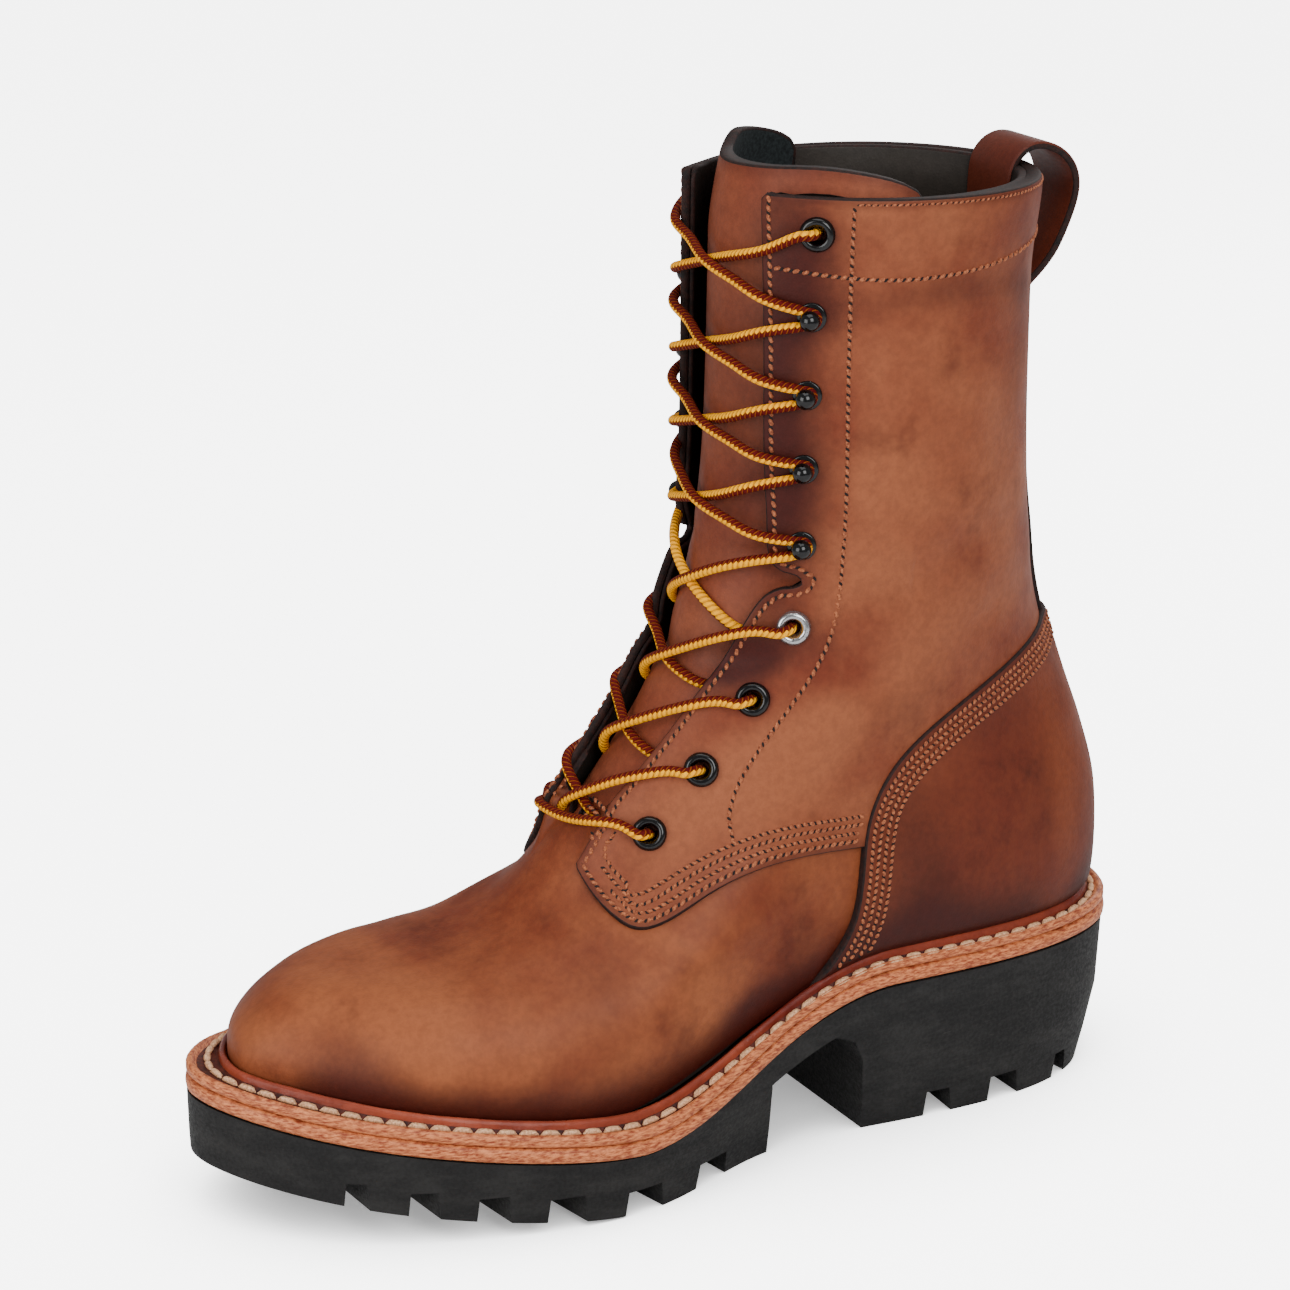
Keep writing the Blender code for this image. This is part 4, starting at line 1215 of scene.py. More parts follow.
def lace_material():
    """Round cord of twisted yarns, yellow on one side and dark red on the other."""
    shader = Shader("lace_cord", roughness=0.72, specular=0.1)
    node = shader.nodes.new("ShaderNodeUVMap")
    node.uv_map = "cord"
    split = shader.nodes.new("ShaderNodeSeparateXYZ")
    shader.links.new(node.outputs["UV"], split.inputs[0])
    around, along = shader.maths("FRACT", split.outputs["X"]), split.outputs["Y"]
    yarns = shader.maths("MULTIPLY", around, 3.0)
    lay = shader.maths("ADD", yarns, shader.maths("DIVIDE", along, 1.7))
    seam = shader.maths("ABSOLUTE", shader.maths("SUBTRACT", shader.maths("FRACT", lay), 0.5))
    top = shader.maths("MULTIPLY", shader.maths("ABSOLUTE", shader.maths("SUBTRACT", around, 0.5)), 2.0)
    ragged = shader.maths("SUBTRACT", top, shader.maths("MULTIPLY", seam, 0.3))
    yellow_side = shader.spread(ragged, 0.38, 0.44)
    fleck = shader.spread(seam, 0.34, 0.44)
    yellow = shader.blend(shader.maths("MULTIPLY", fleck, 0.55), colour(255, 176, 4), colour(130, 40, 8))
    red = shader.blend(shader.maths("MULTIPLY", fleck, 0.3), colour(84, 11, 11), colour(200, 112, 14))
    tone = shader.blend(yellow_side, red, yellow)
    fuzz = shader.noise(2600, 2, 0.6)
    yarn = shader.spread(seam, 0.1, 0.5, 1.0, 0.0)
    normal = shader.bump(yarn, 0.8, 0.5)
    normal = shader.bump(fuzz, 0.3, 0.15, normal)
    return shader.finish(tone, None, normal)


# Colours of the leathers as they look on screen: deep, middle and light tone
VAMP_TONES = ((62, 16, 7), (106, 45, 23), (145, 80, 46))
QUARTER_TONES = ((60, 14, 6), (107, 44, 24), (145, 82, 52))
COUNTER_TONES = ((57, 16, 9), (94, 36, 19), (116, 54, 28))
TONGUE_TONES = ((68, 22, 12), (110, 47, 28), (138, 74, 48))

MATERIALS = {
    "vamp": leather("vamp_leather", *VAMP_TONES),
    "quarter": leather("quarter_leather", *QUARTER_TONES),
    "counter": leather("counter_leather", *COUNTER_TONES),
    "tongue": leather("tongue_leather", *TONGUE_TONES),
    "strap": leather("strap_leather", (58, 18, 10), (96, 38, 22), (118, 54, 33)),
    "edge": plain_fibre("burnished_edge", (12, 5, 4), (42, 16, 9)),
    "lining": leather("black_lining", (16, 14, 12), (33, 28, 25), (52, 46, 41), 0.2),
    "felt": plain_fibre("felt", (18, 22, 23), (40, 46, 47), 900, 0.95),
    "thread": plain_fibre("brown_thread", (104, 46, 25), (178, 106, 68), 1500, 0.7),
    # Dark patches that paint the shade in the needle holes
    "hole_shade": plain_fibre("needle_hole_shade", (10, 4, 3), (26, 9, 6)),
    "cream": plain_fibre("cream_thread", (170, 118, 82), (234, 190, 148), 1500, 0.7),
    "welt": leather("welt_strip", (64, 13, 8), (100, 29, 17), (154, 70, 47), 0.3, -0.25),
    # Darker welt leather that paints the shade in the stitch channel and in the joint under the upper
    "channel_shade": plain_fibre("welt_channel_shade", (44, 12, 7), (96, 36, 20), 500, 0.6),
    "tan": plain_fibre("tan_sole_leather", (124, 48, 23), (216, 132, 82), 420, 0.5, (1, 1, 4)),
    "rubber": rubber_material(),
    "metal": metal_material("black_enamel", (4, 4, 5), (130, 130, 132), 0.7, 0.0),
    "silver": metal_material("worn_nickel", (176, 176, 178), (40, 40, 42), 0.6, 0.9),
    "lace": lace_material(),
}


def leathers(face, back="lining"):
    """Materials of a panel's face, cut edge and back."""
    return [MATERIALS[face], MATERIALS["edge"], MATERIALS[back]]


# Leather pieces
def build_vamp():
    ups = np.linspace(0, up_of("ankle"), 74)
    patch = Patch(np.linspace(0.12, 0.88, 330), ups, closed=False)
    polygon = leveled(VAMP_SIDE)

    def distance(points):
        body = signed_distance(in_side_view(points), polygon)
        return np.minimum(np.minimum(body, from_throat(points, VAMP_GAP)), from_eyelets(points))

    piece = panel(
        "vamp", patch, distance, VAMP_FACE, LINING_FACE, leathers("vamp"), roll=0.7,
    )
    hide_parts("upper")


def build_lining():
    ups = np.linspace(0, COLLAR_UP, 90)
    patch = Patch(np.arange(200) / 200, ups, closed=True)

    def distance(points):
        body = np.minimum(from_throat(points, VAMP_GAP) - 0.3, from_collar(points) - 0.2)
        return np.minimum(body, from_eyelets(points))

    def pad(points):
        back = smooth((100 - points[:, 0]) / 50)
        near = np.exp(-((from_collar(points) - 9) / 10) ** 2)
        return -COLLAR_SWELL * back * near

    piece = panel(
        "lining", patch, distance, LINING_FACE, LINING_BACK, leathers("lining"),
        roll=1.0, bulge=pad,
    )
    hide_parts("upper")


def collar_pad(points):
    """Outward swell of the padded collar at the back."""
    back = smooth((112 - points[:, 0]) / 60)
    near = smooth(from_collar(points) / -30 + 1) * smooth(from_collar(points) / 6 + 0.6)
    return COLLAR_SWELL * back * near


def quarter_patch(side):
    """Grid of the outer quarter, or of the inner one for side -1."""
    ups = np.linspace(up_of("vamp_low") * QUARTER_FROM, COLLAR_UP, 156)
    turns = np.linspace(0.001, 0.48, 190)
    return Patch(turns if side > 0 else 1 - turns[::-1], ups, closed=False)


def quarter_distance(points):
    facing = from_throat(points, FACING_GAP)
    tab = from_tab_line(points)
    body = np.minimum(np.minimum(facing, tab), from_collar(points))
    return np.minimum(body, from_eyelets(points))


def build_quarter(name, side):
    patch = quarter_patch(side)
    piece = panel(
        name, patch, quarter_distance, QUARTER_FACE, QUARTER_BACK, leathers("quarter"),
        roll=0.8, backed=True, bulge=collar_pad,
    )
    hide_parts(name)


def counter_face(points):
    """How far the counter's face swells over the backstay and tucks in behind the welt."""
    over_strip = smooth(1.6 - np.abs(points[:, 1]) / 8) * smooth((points[:, 2] - level(60)) / 20)
    tuck = smooth((points[:, 2] - welt_top(points[:, 0])) / 6)
    return 1.5 * over_strip - 2.0 * (1 - tuck)


def counter_height(points):
    """Height of the counter's stitches over the form."""
    return COUNTER_FACE + counter_face(points)


def counter_patch():
    ups = np.linspace(0, up_of("ankle"), 90)
    return Patch(np.linspace(-0.24, 0.24, 230), ups, closed=False)


def build_counter():
    piece = panel(
        "counter", counter_patch(), from_counter_line, COUNTER_FACE, GAP, leathers("counter"),
        roll=0.9, bulge=counter_face,
    )
    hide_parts("counter")


def build_backstay():
    ups = np.linspace(up_of("throat"), COLLAR_UP, 110)
    patch = Patch(np.linspace(-0.05, 0.05, 40), ups, closed=False)

    def distance(points):
        return np.minimum(BACKSTAY_HALF - np.abs(points[:, 1]), from_collar(points) - 1)

    piece = panel(
        "backstay", patch, distance, BACKSTAY_FACE, QUARTER_FACE - 0.4, leathers("counter"),
        roll=0.6, bulge=collar_pad,
    )
    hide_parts("backstay")


def build_tongue():
    ups = np.linspace(up_of("vamp_mid"), 1.0, 170)
    patch = Patch(np.linspace(0.24, 0.76, 150), ups, closed=False)

    def swell(points):
        middle = np.exp(-(points[:, 1] / TONGUE_SWELL_HALF) ** 2)
        high = smooth((points[:, 2] - level(TONGUE_SWELL_FROM)) / TONGUE_SWELL_GROWTH)
        return TONGUE_SWELL * middle * high

    def lean(points):
        return -TONGUE_LEAN * smooth((points[:, 2] - level(TONGUE_LEAN_FROM)) / TONGUE_LEAN_GROWTH)

    piece = panel(
        "tongue", patch, from_tongue_line, TONGUE_FACE, TONGUE_BACK, leathers("tongue", "felt"),
        roll=1.0, backed=True, bulge=swell, lifted=False, shift=lean,
    )
    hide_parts("tongue")


def over_welt(points):
    return points[:, 2] > welt_top(points[:, 0]) + 5


def build_upper_stitches():
    """Rows of brown thread on the quarters, counter and collar."""
    thread = [MATERIALS["thread"], MATERIALS["hole_shade"]]
    for name, side in (("outer", 1), ("inner", -1)):
        patch = quarter_patch(side)
        facing = patch.true_distance(from_throat(patch.point, FACING_GAP))
        tab = patch.true_distance(from_tab_line(patch.point))
        collar = patch.true_distance(from_collar(patch.point))
        line = fine_line(leveled(FACING_LINE), 60)[::-1]
        across = np.abs(patch.point[:, 1]) - np.interp(patch.point[:, 2], line[:, 1], line[:, 0])
        band = fine_line(leveled(BAND_LINE), 40)[::-1]
        band_gap = patch.point[:, 2] - np.interp(patch.point[:, 0], band[:, 0], band[:, 1])

        def shown(points):
            return from_counter_line(points) < -1

        def tab_part(points):
            return shown(points) & (points[:, 0] < 184)

        def facing_part(points):
            tall = points[:, 2] < collar_height(points) - 3
            return (points[:, 0] > FACING_BACK) & tall & (from_tab_line(points) > 9)

        def band_part(points):
            return from_throat(points, FACING_GAP) > 2.5

        def rim_part(points):
            return from_throat(points, FACING_GAP) > 18

        single = [
            (line, QUARTER_FACE, 1)
            for line in contour(patch, np.minimum(facing, tab), 2.5, shown)
        ]
        single += [(line, QUARTER_FACE, 1) for line in contour(patch, across, 0, facing_part)]
        stitch_rows(f"facing_stitches_{name}", single, thread, 2.7)
        rows = []
        for k in (1, 2, 3):
            rows += [
                (line, QUARTER_FACE, (-1) ** k)
                for line in contour(patch, tab, 2.5 + 2.5 * k, tab_part)
            ]
        stitch_rows(f"tab_stitches_{name}", rows, thread, 2.2)
        band_rows = [(line, QUARTER_FACE, 1) for line in contour(patch, band_gap, 0, band_part)]
        stitch_rows(f"band_stitches_{name}", band_rows, thread, 2.6)
        rim_rows = [(line, QUARTER_FACE, 1) for line in contour(patch, collar, 1.6, rim_part)]
        stitch_rows(f"rim_stitches_{name}", rim_rows, thread, 1.8, 0.32, 0.3, hole_shade=0.4)
    patch = counter_patch()
    counter = patch.true_distance(from_counter_line(patch.point))
    rows = []
    for k in range(4):
        for line in contour(patch, counter, 2.6 + 2.4 * k, over_welt):
            rows.append((line, counter_height, (-1) ** k))
    stitch_rows("counter_stitches", rows, thread, 2.1)


# Sole
def ring_mesh(name, rings, materials, slots):
    """A closed sweep around the boot: rings of equal counts, joined in order and back."""
    count = len(rings[0])
    points = np.concatenate(rings)
    faces = strip_faces(len(rings), count, closed=True)
    last = (len(rings) - 1) * count + np.arange(count)
    first = np.arange(count)
    closing = np.stack([last, np.roll(last, -1), np.roll(first, -1), first], 1)
    faces = np.concatenate([faces, closing])
    per_face = np.repeat(slots, count)
    return add_object(name, points, faces.tolist(), materials, per_face)


# Steps around the welt; the waves of its lip and their height
WELT_COUNT = 520
WELT_WAVES = 37
WELT_WAVE = 0.12


def welt_line():
    """Foot of the upper, the direction out of it in plan, and the reach to the sole's edge."""
    around = np.arange(WELT_COUNT) / WELT_COUNT
    zero = np.zeros(WELT_COUNT)
    foot = on_form(around, zero)
    _, _, outward = tangents(around, zero)
    outward[:, 2] = 0
    outward = unit(outward)
    lip = on_form(around, zero + up_of("lip") * 0.55)
    bulge = ((lip - foot) * outward).sum(1)
    edge = outline(1200)
    reach = np.zeros(WELT_COUNT)
    for i in range(WELT_COUNT):
        gap = edge - foot[i, :2]
        along = gap @ outward[i, :2]
        off = np.abs(gap[:, 0] * outward[i, 1] - gap[:, 1] * outward[i, 0])
        off[along < 0] = 1e9
        reach[i] = along[off.argmin()]
    return foot, outward, bulge, reach


def swept(line, out, height, over):
    """A ring around the boot, that far out of the upper's foot and that high over a level."""
    foot, outward, _, _ = line
    ring = foot + outward * np.reshape(out, (-1, 1))
    ring[:, 2] = over(ring[:, 0]) + height
    return ring


def build_welt(line):
    _, _, bulge, reach = line
    wave = np.sin(np.arange(WELT_COUNT) * 2 * math.pi / WELT_COUNT * WELT_WAVES) * WELT_WAVE
    profile = (
        (-2.0 + 0 * bulge, 0.0, 2),
        (bulge + 0.1, 0.3, 0),
        (bulge + 0.3, 1.8, 0),
        (bulge + 0.8 + wave, 2.6, 0),
        (bulge + 1.5 + wave, 2.8, 0),
        (bulge + 2.1 + wave, 2.3, 0),
        (bulge + 2.5, 1.3, 0),
        (bulge + 2.7, 0.4, 2),
        (bulge + 3.2, -0.5, 2),
        (np.maximum(reach - 3.3, bulge + 4.6), -0.6, 1),
        (np.maximum(reach - 2.7, bulge + 5.0), 0.2, 1),
        (np.maximum(reach - 1.8, bulge + 5.4), 0.6, 1),
        (reach - 0.8, 0.3, 1),
        (reach - 0.2, -0.6, 1),
        (reach - 0.2, -2.3, 1),
        (reach - 0.9, -3.1, 1),
        (-2.0 + 0 * bulge, -3.1, 1),
    )
    rings = [swept(line, out, height, welt_top) for out, height, _ in profile]
    slots = [kind for _, _, kind in profile]
    # The third material paints the shade in the joint under the upper and in the stitch channel
    materials = [MATERIALS["welt"], MATERIALS["tan"], MATERIALS["channel_shade"]]
    piece = ring_mesh("welt", rings, materials, slots)
    add_values(piece, "edge", np.full(len(piece.data.vertices), 10.0))
    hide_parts("welt")


def build_midsole(line):
    _, _, _, reach = line
    profile = (
        (reach - 12, 0.0),
        (reach - 1.0, 0.0),
        (reach - 0.2, -0.7),
        (reach + 0.1, -2.4),
        (reach - 0.1, -4.0),
        (reach - 1.0, -4.7),
        (reach - 12, -4.7),
    )
    rings = [swept(line, out, height, midsole_top) for out, height in profile]
    piece = ring_mesh("midsole", rings, [MATERIALS["tan"]], [0] * len(profile))
    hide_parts("midsole")


def build_welt_stitches(line):
    """Long cream stitches that lie in the welt's groove."""
    foot, outward, bulge, reach = line
    path = swept(line, np.maximum((bulge + 3.0 + reach - 3.0) / 2, bulge + 4.0), 0.1, welt_top)
    path = np.concatenate([path, path[:1]])
    length = np.linalg.norm(np.diff(path, axis=0), axis=1).sum()
    count = int(length / 6.4)
    places = resample(path, count + 1)
    points, faces, total = [], [], 0
    for i in range(count):
        start, end = places[i], places[i + 1]
        x = unit(end - start)
        y = unit(np.cross([0, 0, 1], x))
        z = np.cross(x, y)
        half = np.linalg.norm(end - start) / 2 * 0.93
        local = STITCH_POINTS * [half, 1.1, 0.95]
        points.append((start + end) / 2 + local[:, :1] * x + local[:, 1:2] * y + local[:, 2:] * z)
        faces.append(STITCH_FACES + total)
        total += len(local)
    faces = np.concatenate(faces).tolist()
    cream = [MATERIALS["cream"]]
    add_object("welt_stitches", np.concatenate(points), faces, cream, None)


def prism(name, corners, axis, low, high):
    """A working mesh with this outline, from low to high along an axis."""
    corners = np.asarray(corners, float)
    ends = [np.insert(corners, axis, end, axis=1) for end in (low, high)]
    count = len(corners)
    faces = [list(range(count)), list(range(2 * count - 1, count - 1, -1))]
    faces += [[i, (i + 1) % count, count + (i + 1) % count, count + i] for i in range(count)]
    return loose_mesh(name, np.concatenate(ends), faces)


def loose_mesh(name, points, faces):
    """A working mesh with its faces pointing out, used only to cut another."""
    mesh = bpy.data.meshes.new(name)
    mesh.from_pydata(metres(points).tolist(), [], faces)
    work = bmesh.new()
    work.from_mesh(mesh)
    bmesh.ops.recalc_face_normals(work, faces=work.faces)
    work.to_mesh(mesh)
    work.free()
    new = bpy.data.objects.new(name, mesh)
    bpy.context.scene.collection.objects.link(new)
    return new


def build_outsole():
    """Rubber block with a heel, an arch and side lugs, cut from a fine outline and bevelled."""
    count = 260
    heights = (-3, 3, 9, 16, 24, 34, 44, 60)
    shares = np.interp(heights, (-3, 9, 24, 60), (1.0, 0.62, 0.22, 0.0))
    base = outline(count)
    along = base[:, 0] / SOLE_LENGTH
    waist = np.exp(-((along - WAIST_MIDDLE) / WAIST_REACH) ** 2)
    heel = np.clip(1 - base[:, 0] / HEEL_BACK_LONG, 0, 1)
    rings = []
    for height, share in zip(heights, shares):
        ring = outline(count, share * (FOOT_INSET + WAIST_INSET * waist))
        ring[:, 0] += HEEL_BACK_RAKE * share * heel
        rings.append(np.column_stack([ring, np.full(count, float(height))]))
    faces = strip_faces(len(heights), count, closed=True).tolist()
    faces.append(list(range(count)))
    faces.append(list(range((len(heights) - 1) * count, len(heights) * count)))
    block = loose_mesh("outsole_fine", np.concatenate(rings), faces)
    xs = np.linspace(-12, SOLE_LENGTH + 12, 70)
    top = [(x, float(rubber_top(x))) for x in xs[::-1]]
    arch = [(BREAST_X, 0), (BREAST_TOP_X - 1, BREAST_TOP_Z - 3), (BREAST_TOP_X + 2, BREAST_TOP_Z + 4)]
    arch += [(x, float(rubber_top(x)) - SHANK) for x in np.linspace(BREAST_TOP_X + 9, BLOCK_BACK_X, 10)]
    low = [(BLOCK_BACK_X - 1.5, 0)]
    low += [(x, float(spring(x))) for x in np.linspace(SPRING_FROM * SOLE_LENGTH, SOLE_LENGTH + 12, 40)]
    profile = prism("outsole_side", [(-12, 0)] + arch + low + top, 1, -90, 90)
    notches = notch_cutter()
    for cutter, operation in ((profile, "INTERSECT"), (notches, "DIFFERENCE")):
        change = block.modifiers.new(operation.lower(), "BOOLEAN")
        change.operation = operation
        change.object = cutter
    bpy.context.view_layer.update()
    graph = bpy.context.evaluated_depsgraph_get()
    mesh = bpy.data.meshes.new_from_object(block.evaluated_get(graph))
    for old in (block, profile, notches):
        bpy.data.objects.remove(old, do_unlink=True)
    mesh.name = "outsole"
    mesh.materials.clear()
    mesh.materials.append(MATERIALS["rubber"])
    piece = bpy.data.objects.new("outsole_rubber", mesh)
    bpy.context.scene.collection.objects.link(piece)
    bevel = piece.modifiers.new("rounding", "BEVEL")
    bevel.width = 0.0009
    bevel.segments = 2
    bevel.limit_method = "ANGLE"
    bevel.angle_limit = math.radians(35)
    mesh.shade_smooth()
    normals = piece.modifiers.new("even_shading", "WEIGHTED_NORMAL")
    normals.keep_sharp = True
    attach(piece, "root")
    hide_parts("outsole")


def notch_cutter():
    """A working mesh of wedges, one for each notch of each side."""
    edge = outline(800)
    points, faces = [], []
    for side in (1, -1):
        half = edge[edge[:, 1] * side > 0]
        for middle, width, skew in NOTCHES:
            nearest = half[np.abs(half[:, 0] - middle).argmin()]
            inner = nearest[1] * NOTCH_REACH
            top = float(spring(middle)) + LUG_DEPTH
            first = len(points)
            for z, wide in ((-5, width + 2), (top, width - 1)):
                for y, shift in ((inner, skew), (side * 75, -skew)):
                    points.append((middle + shift - wide / 2, y, z))
                    points.append((middle + shift + wide / 2, y, z))
            faces += [[first + k for k in quad] for quad in BOX_FACES]
    return loose_mesh("notches", np.array(points), faces)


def build_insole():
    count = 160
    around = np.arange(count) / count
    edge = on_form(around, np.zeros(count))
    _, _, outward = tangents(around, np.zeros(count))
    rings = []
    middle = np.stack([edge[:, 0].clip(60, 240), edge[:, 1] * 0, edge[:, 2]], 1)
    for share, lift in ((0, 0), (0, 2.2), (0.03, 3.0), (0.3, 3.1), (0.65, 3.1), (0.97, 3.1)):
        ring = (edge - outward * 2.8) * (1 - share) + middle * share
        ring[:, 2] = welt_top(ring[:, 0]) + lift
        rings.append(ring)
    points = np.concatenate(rings)
    faces = strip_faces(len(rings), count, closed=True).tolist()
    piece = add_object("insole", points, faces, [MATERIALS["lining"]], None)
    add_values(piece, "edge", np.full(len(points), 10.0))
    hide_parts("insole")


# Pull loop
def build_pull_loop():
    line = fine_line(leveled(LOOP_LINE), 70)
    ahead = np.gradient(line, axis=0)
    normal = unit(np.stack([-ahead[:, 1], ahead[:, 0]], 1))
    half, thick, corner = LOOP_HALF_WIDTH, LOOP_THICK / 2, LOOP_CORNER
    share = np.linspace(0, 1, len(line))
    narrow = 1 - LOOP_NARROW * smooth((share - LOOP_NARROW_FROM) / LOOP_NARROW_WIDTH)
    section_points = []
    for across, high, first in ((1, 1, 0), (-1, 1, 90), (-1, -1, 180), (1, -1, 270)):
        cx, cy = across * (half - corner), high * (thick - corner)
        for a in (0, 45, 90):
            angle = math.radians(first + a)
            section_points.append((cx + corner * math.cos(angle), cy + corner * math.sin(angle)))
    rings = []
    for y, n in section_points:
        ring = np.stack([line[:, 0] + normal[:, 0] * n, y * narrow, line[:, 1] + normal[:, 1] * n], 1)
        rings.append(ring)
    grid = np.stack(rings, 1)
    count = len(section_points)
    faces = strip_faces(len(line), count, closed=True).tolist() + end_caps(len(line), count)
    slots = [1 if k % count in (0, 1, 5, 6, 7, 11) else 0 for k in range(len(faces))]
    points = grid.reshape(-1, 3)
    materials = [MATERIALS["strap"], MATERIALS["edge"]]
    piece = add_object("pull_loop", points, faces, materials, slots)
    add_values(piece, "edge", half - np.abs(points[:, 1]))
    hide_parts("pull_loop")


# Hardware
BARE_EYELET = "eyelet_outer_4"


def hardware_places():
    """Kind, side, place on the form, seat, and directions of every eyelet and hook."""
    found = []
    for kind, across, rise in ROWS:
        for side in (1, -1):
            turn, up = find_on_form(across, float(level(rise)), side)
            around, rising, outward = (v[0] for v in tangents([turn], [up]))
            point = on_form([turn], [up])[0]
            away = around * -side
            away = unit(away - outward * away.dot(outward))
            along = np.cross(outward, away)
            seat = point + outward * (QUARTER_FACE + creases(point[None])[0])
            found.append((kind, side, turn, up, seat, away, along, outward))
    return found


def turned(profile, steps=40):
    """Points and faces of a profile turned about the Z axis. Columns: radius, height."""
    angles = np.arange(steps) / steps * 2 * math.pi
    rows = [np.stack([r * np.cos(angles), r * np.sin(angles), np.full(steps, h)], 1) for r, h in profile]
    return np.concatenate(rows), strip_faces(len(profile), steps, closed=True)


def arc(centre_r, centre_h, radius, start, end, steps):
    """Points of a profile along an arc between two angles in degrees."""
    angles = np.radians(np.linspace(start, end, steps))
    return [(centre_r + radius * math.cos(a), centre_h + radius * math.sin(a)) for a in angles]


def eyelet_profile():
    """Barrel and rolled ring."""
    ring = arc(3.75, 0.15, 1.25, 200, 0, 10)
    return [(2.45, -3.4), (2.45, -0.4)] + ring + [(5.15, 0.0), (5.2, -0.15)]


def hook_profile():
    """Round foot, neck and ball."""
    foot = [(4.3, -0.1), (4.3, 0.3)] + arc(3.8, 0.35, 0.5, 10, 90, 4) + [(1.8, 0.95), (1.2, 1.4)]
    ball = arc(0, 4.9, 3.0, -62, 88, 14)
    return foot + [(1.1, 2.0)] + ball + [(0.01, 7.9)]


def build_hardware(places):
    shapes = {"eyelet": turned(eyelet_profile()), "hook": turned(hook_profile())}
    counts = {}
    for kind, side, _, _, seat, away, along, outward in places:
        side_name = "outer" if side > 0 else "inner"
        counts[(kind, side_name)] = counts.get((kind, side_name), 0) + 1
        name = f"{kind}_{side_name}_{counts[(kind, side_name)]}"
        points, faces = shapes[kind]
        world = seat + points[:, :1] * away + points[:, 1:2] * along + points[:, 2:] * outward
        turned_faces = [f[::-1] for f in faces.tolist()] if kind == "eyelet" else faces.tolist()
        finish = "silver" if name == BARE_EYELET else "metal"
        piece = add_object(name + "_fine", world, turned_faces, [MATERIALS[finish]], None)
        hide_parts(name)


# Laces
LACE_RADIUS = 1.55
# Height of the cord's middle at a hook's neck, and its distance from the neck's middle
NECK_HEIGHT = 2.2
NECK_ROUND = 2.1
# Share of the cord's radius at a neck, and how much of it comes back further on
LACE_PRESSED = 0.78
LACE_RELIEF = 0.22
# Spots over an eyelet's ring and in its hole. Columns: distance towards the throat; height
EYELET_ROUTE = ((4.3, 3.2), (2.5, 2.6), (0.9, 0.9), (0.4, -1.2), (0.2, -4.4))
# Angles of the cord's way round a neck
HOOK_ANGLES = (-12, 15, 42, 69, 96)
# Routes of strands across the throat. Columns: share of the way across; share of the way up or
# down and height over the form of the strand from the outer side; the same from the inner side
LOWER_ROUTE = (
    (0.13, -0.06, 4.2, 0.07, 2.5),
    (0.24, -0.06, 4.5, 0.12, 2.5),
    (0.36, 0.06, 4.6, 0.2, 2.2),
    (0.5, 0.3, 4.2, 0.33, 1.0),
    (0.62, 0.56, 2.4, 0.49, 0.0),
    (0.74, 0.84, -1.6, 0.63, -2.0),
    (0.84, 1.0, -3.8, 0.74, -3.8),
    (0.89, 1.0, -4.4, 1.0, -4.4),
)
UNDER_ROUTE = (
    (0.16, 0.0, -3.8, 0.0, -3.8),
    (0.26, 0.1, -2.2, 0.1, -2.2),
    (0.4, 0.35, 1.0, 0.35, 0.2),
    (0.55, 0.6, 3.4, 0.6, 0.9),
    (0.74, 0.84, 4.0, 0.84, 3.4),
)
HOOK_ROUTE = (
    (0.2, 0.19, 3.9, 0.19, 3.5),
    (0.34, 0.34, 3.9, 0.34, 3.0),
    (0.5, 0.5, 3.8, 0.5, 0.7),
    (0.66, 0.66, 3.9, 0.66, 3.2),
    (0.8, 0.81, 3.9, 0.81, 3.6),
)
# Route of the lowest run. Columns: share of the way across; height over the form
BAR_ROUTE = (
    (0.14, 4.0),
    (0.26, 4.3),
    (0.5, 3.0),
    (0.74, 2.8),
    (0.86, 2.6),
)
# How far the lowest run arches up, and how much more it does so on the outer side
BAR_ARCH = 7
BAR_LEAN = 1.3
# Turn of the cord's two colours: red on its upper side, or yellow
RED_ABOVE = 0.42
YELLOW_ABOVE = 0.95


def tube(name, path, radii, turn):
    """A round cord along a path. Its map holds the share around, plus a turn, and the reach."""
    sides = 14
    reach = reach_along(path)
    heading = unit(np.gradient(path, axis=0))
    middle = len(path) // 2
    tops = np.zeros_like(path)
    for order in (range(middle, len(path)), range(middle, -1, -1)):
        top = np.array([0.3, 0, 1.0])
        for i in order:
            top = unit(top - heading[i] * top.dot(heading[i]))
            tops[i] = top
    beside = np.cross(heading, tops)
    angles = (np.arange(sides) / sides * 2 * math.pi)[None, :, None]
    rings = np.cos(angles) * tops[:, None] + np.sin(angles) * beside[:, None]
    points = path[:, None] + np.reshape(radii, (-1, 1, 1)) * rings
    faces = strip_faces(len(path), sides, closed=True)[:, ::-1].tolist() + end_caps(len(path), sides)
    piece = add_object(name, points.reshape(-1, 3), faces, [MATERIALS["lace"]], None)
    layer = piece.data.uv_layers.new(name="cord")
    for polygon in piece.data.polygons:
        columns = [piece.data.loops[k].vertex_index % sides for k in polygon.loop_indices]
        for k, column in zip(polygon.loop_indices, columns):
            row = piece.data.loops[k].vertex_index // sides
            if column == 0 and sides - 1 in columns:
                column = sides
            layer.data[k].uv = (column / sides + turn, reach[row])
    return piece


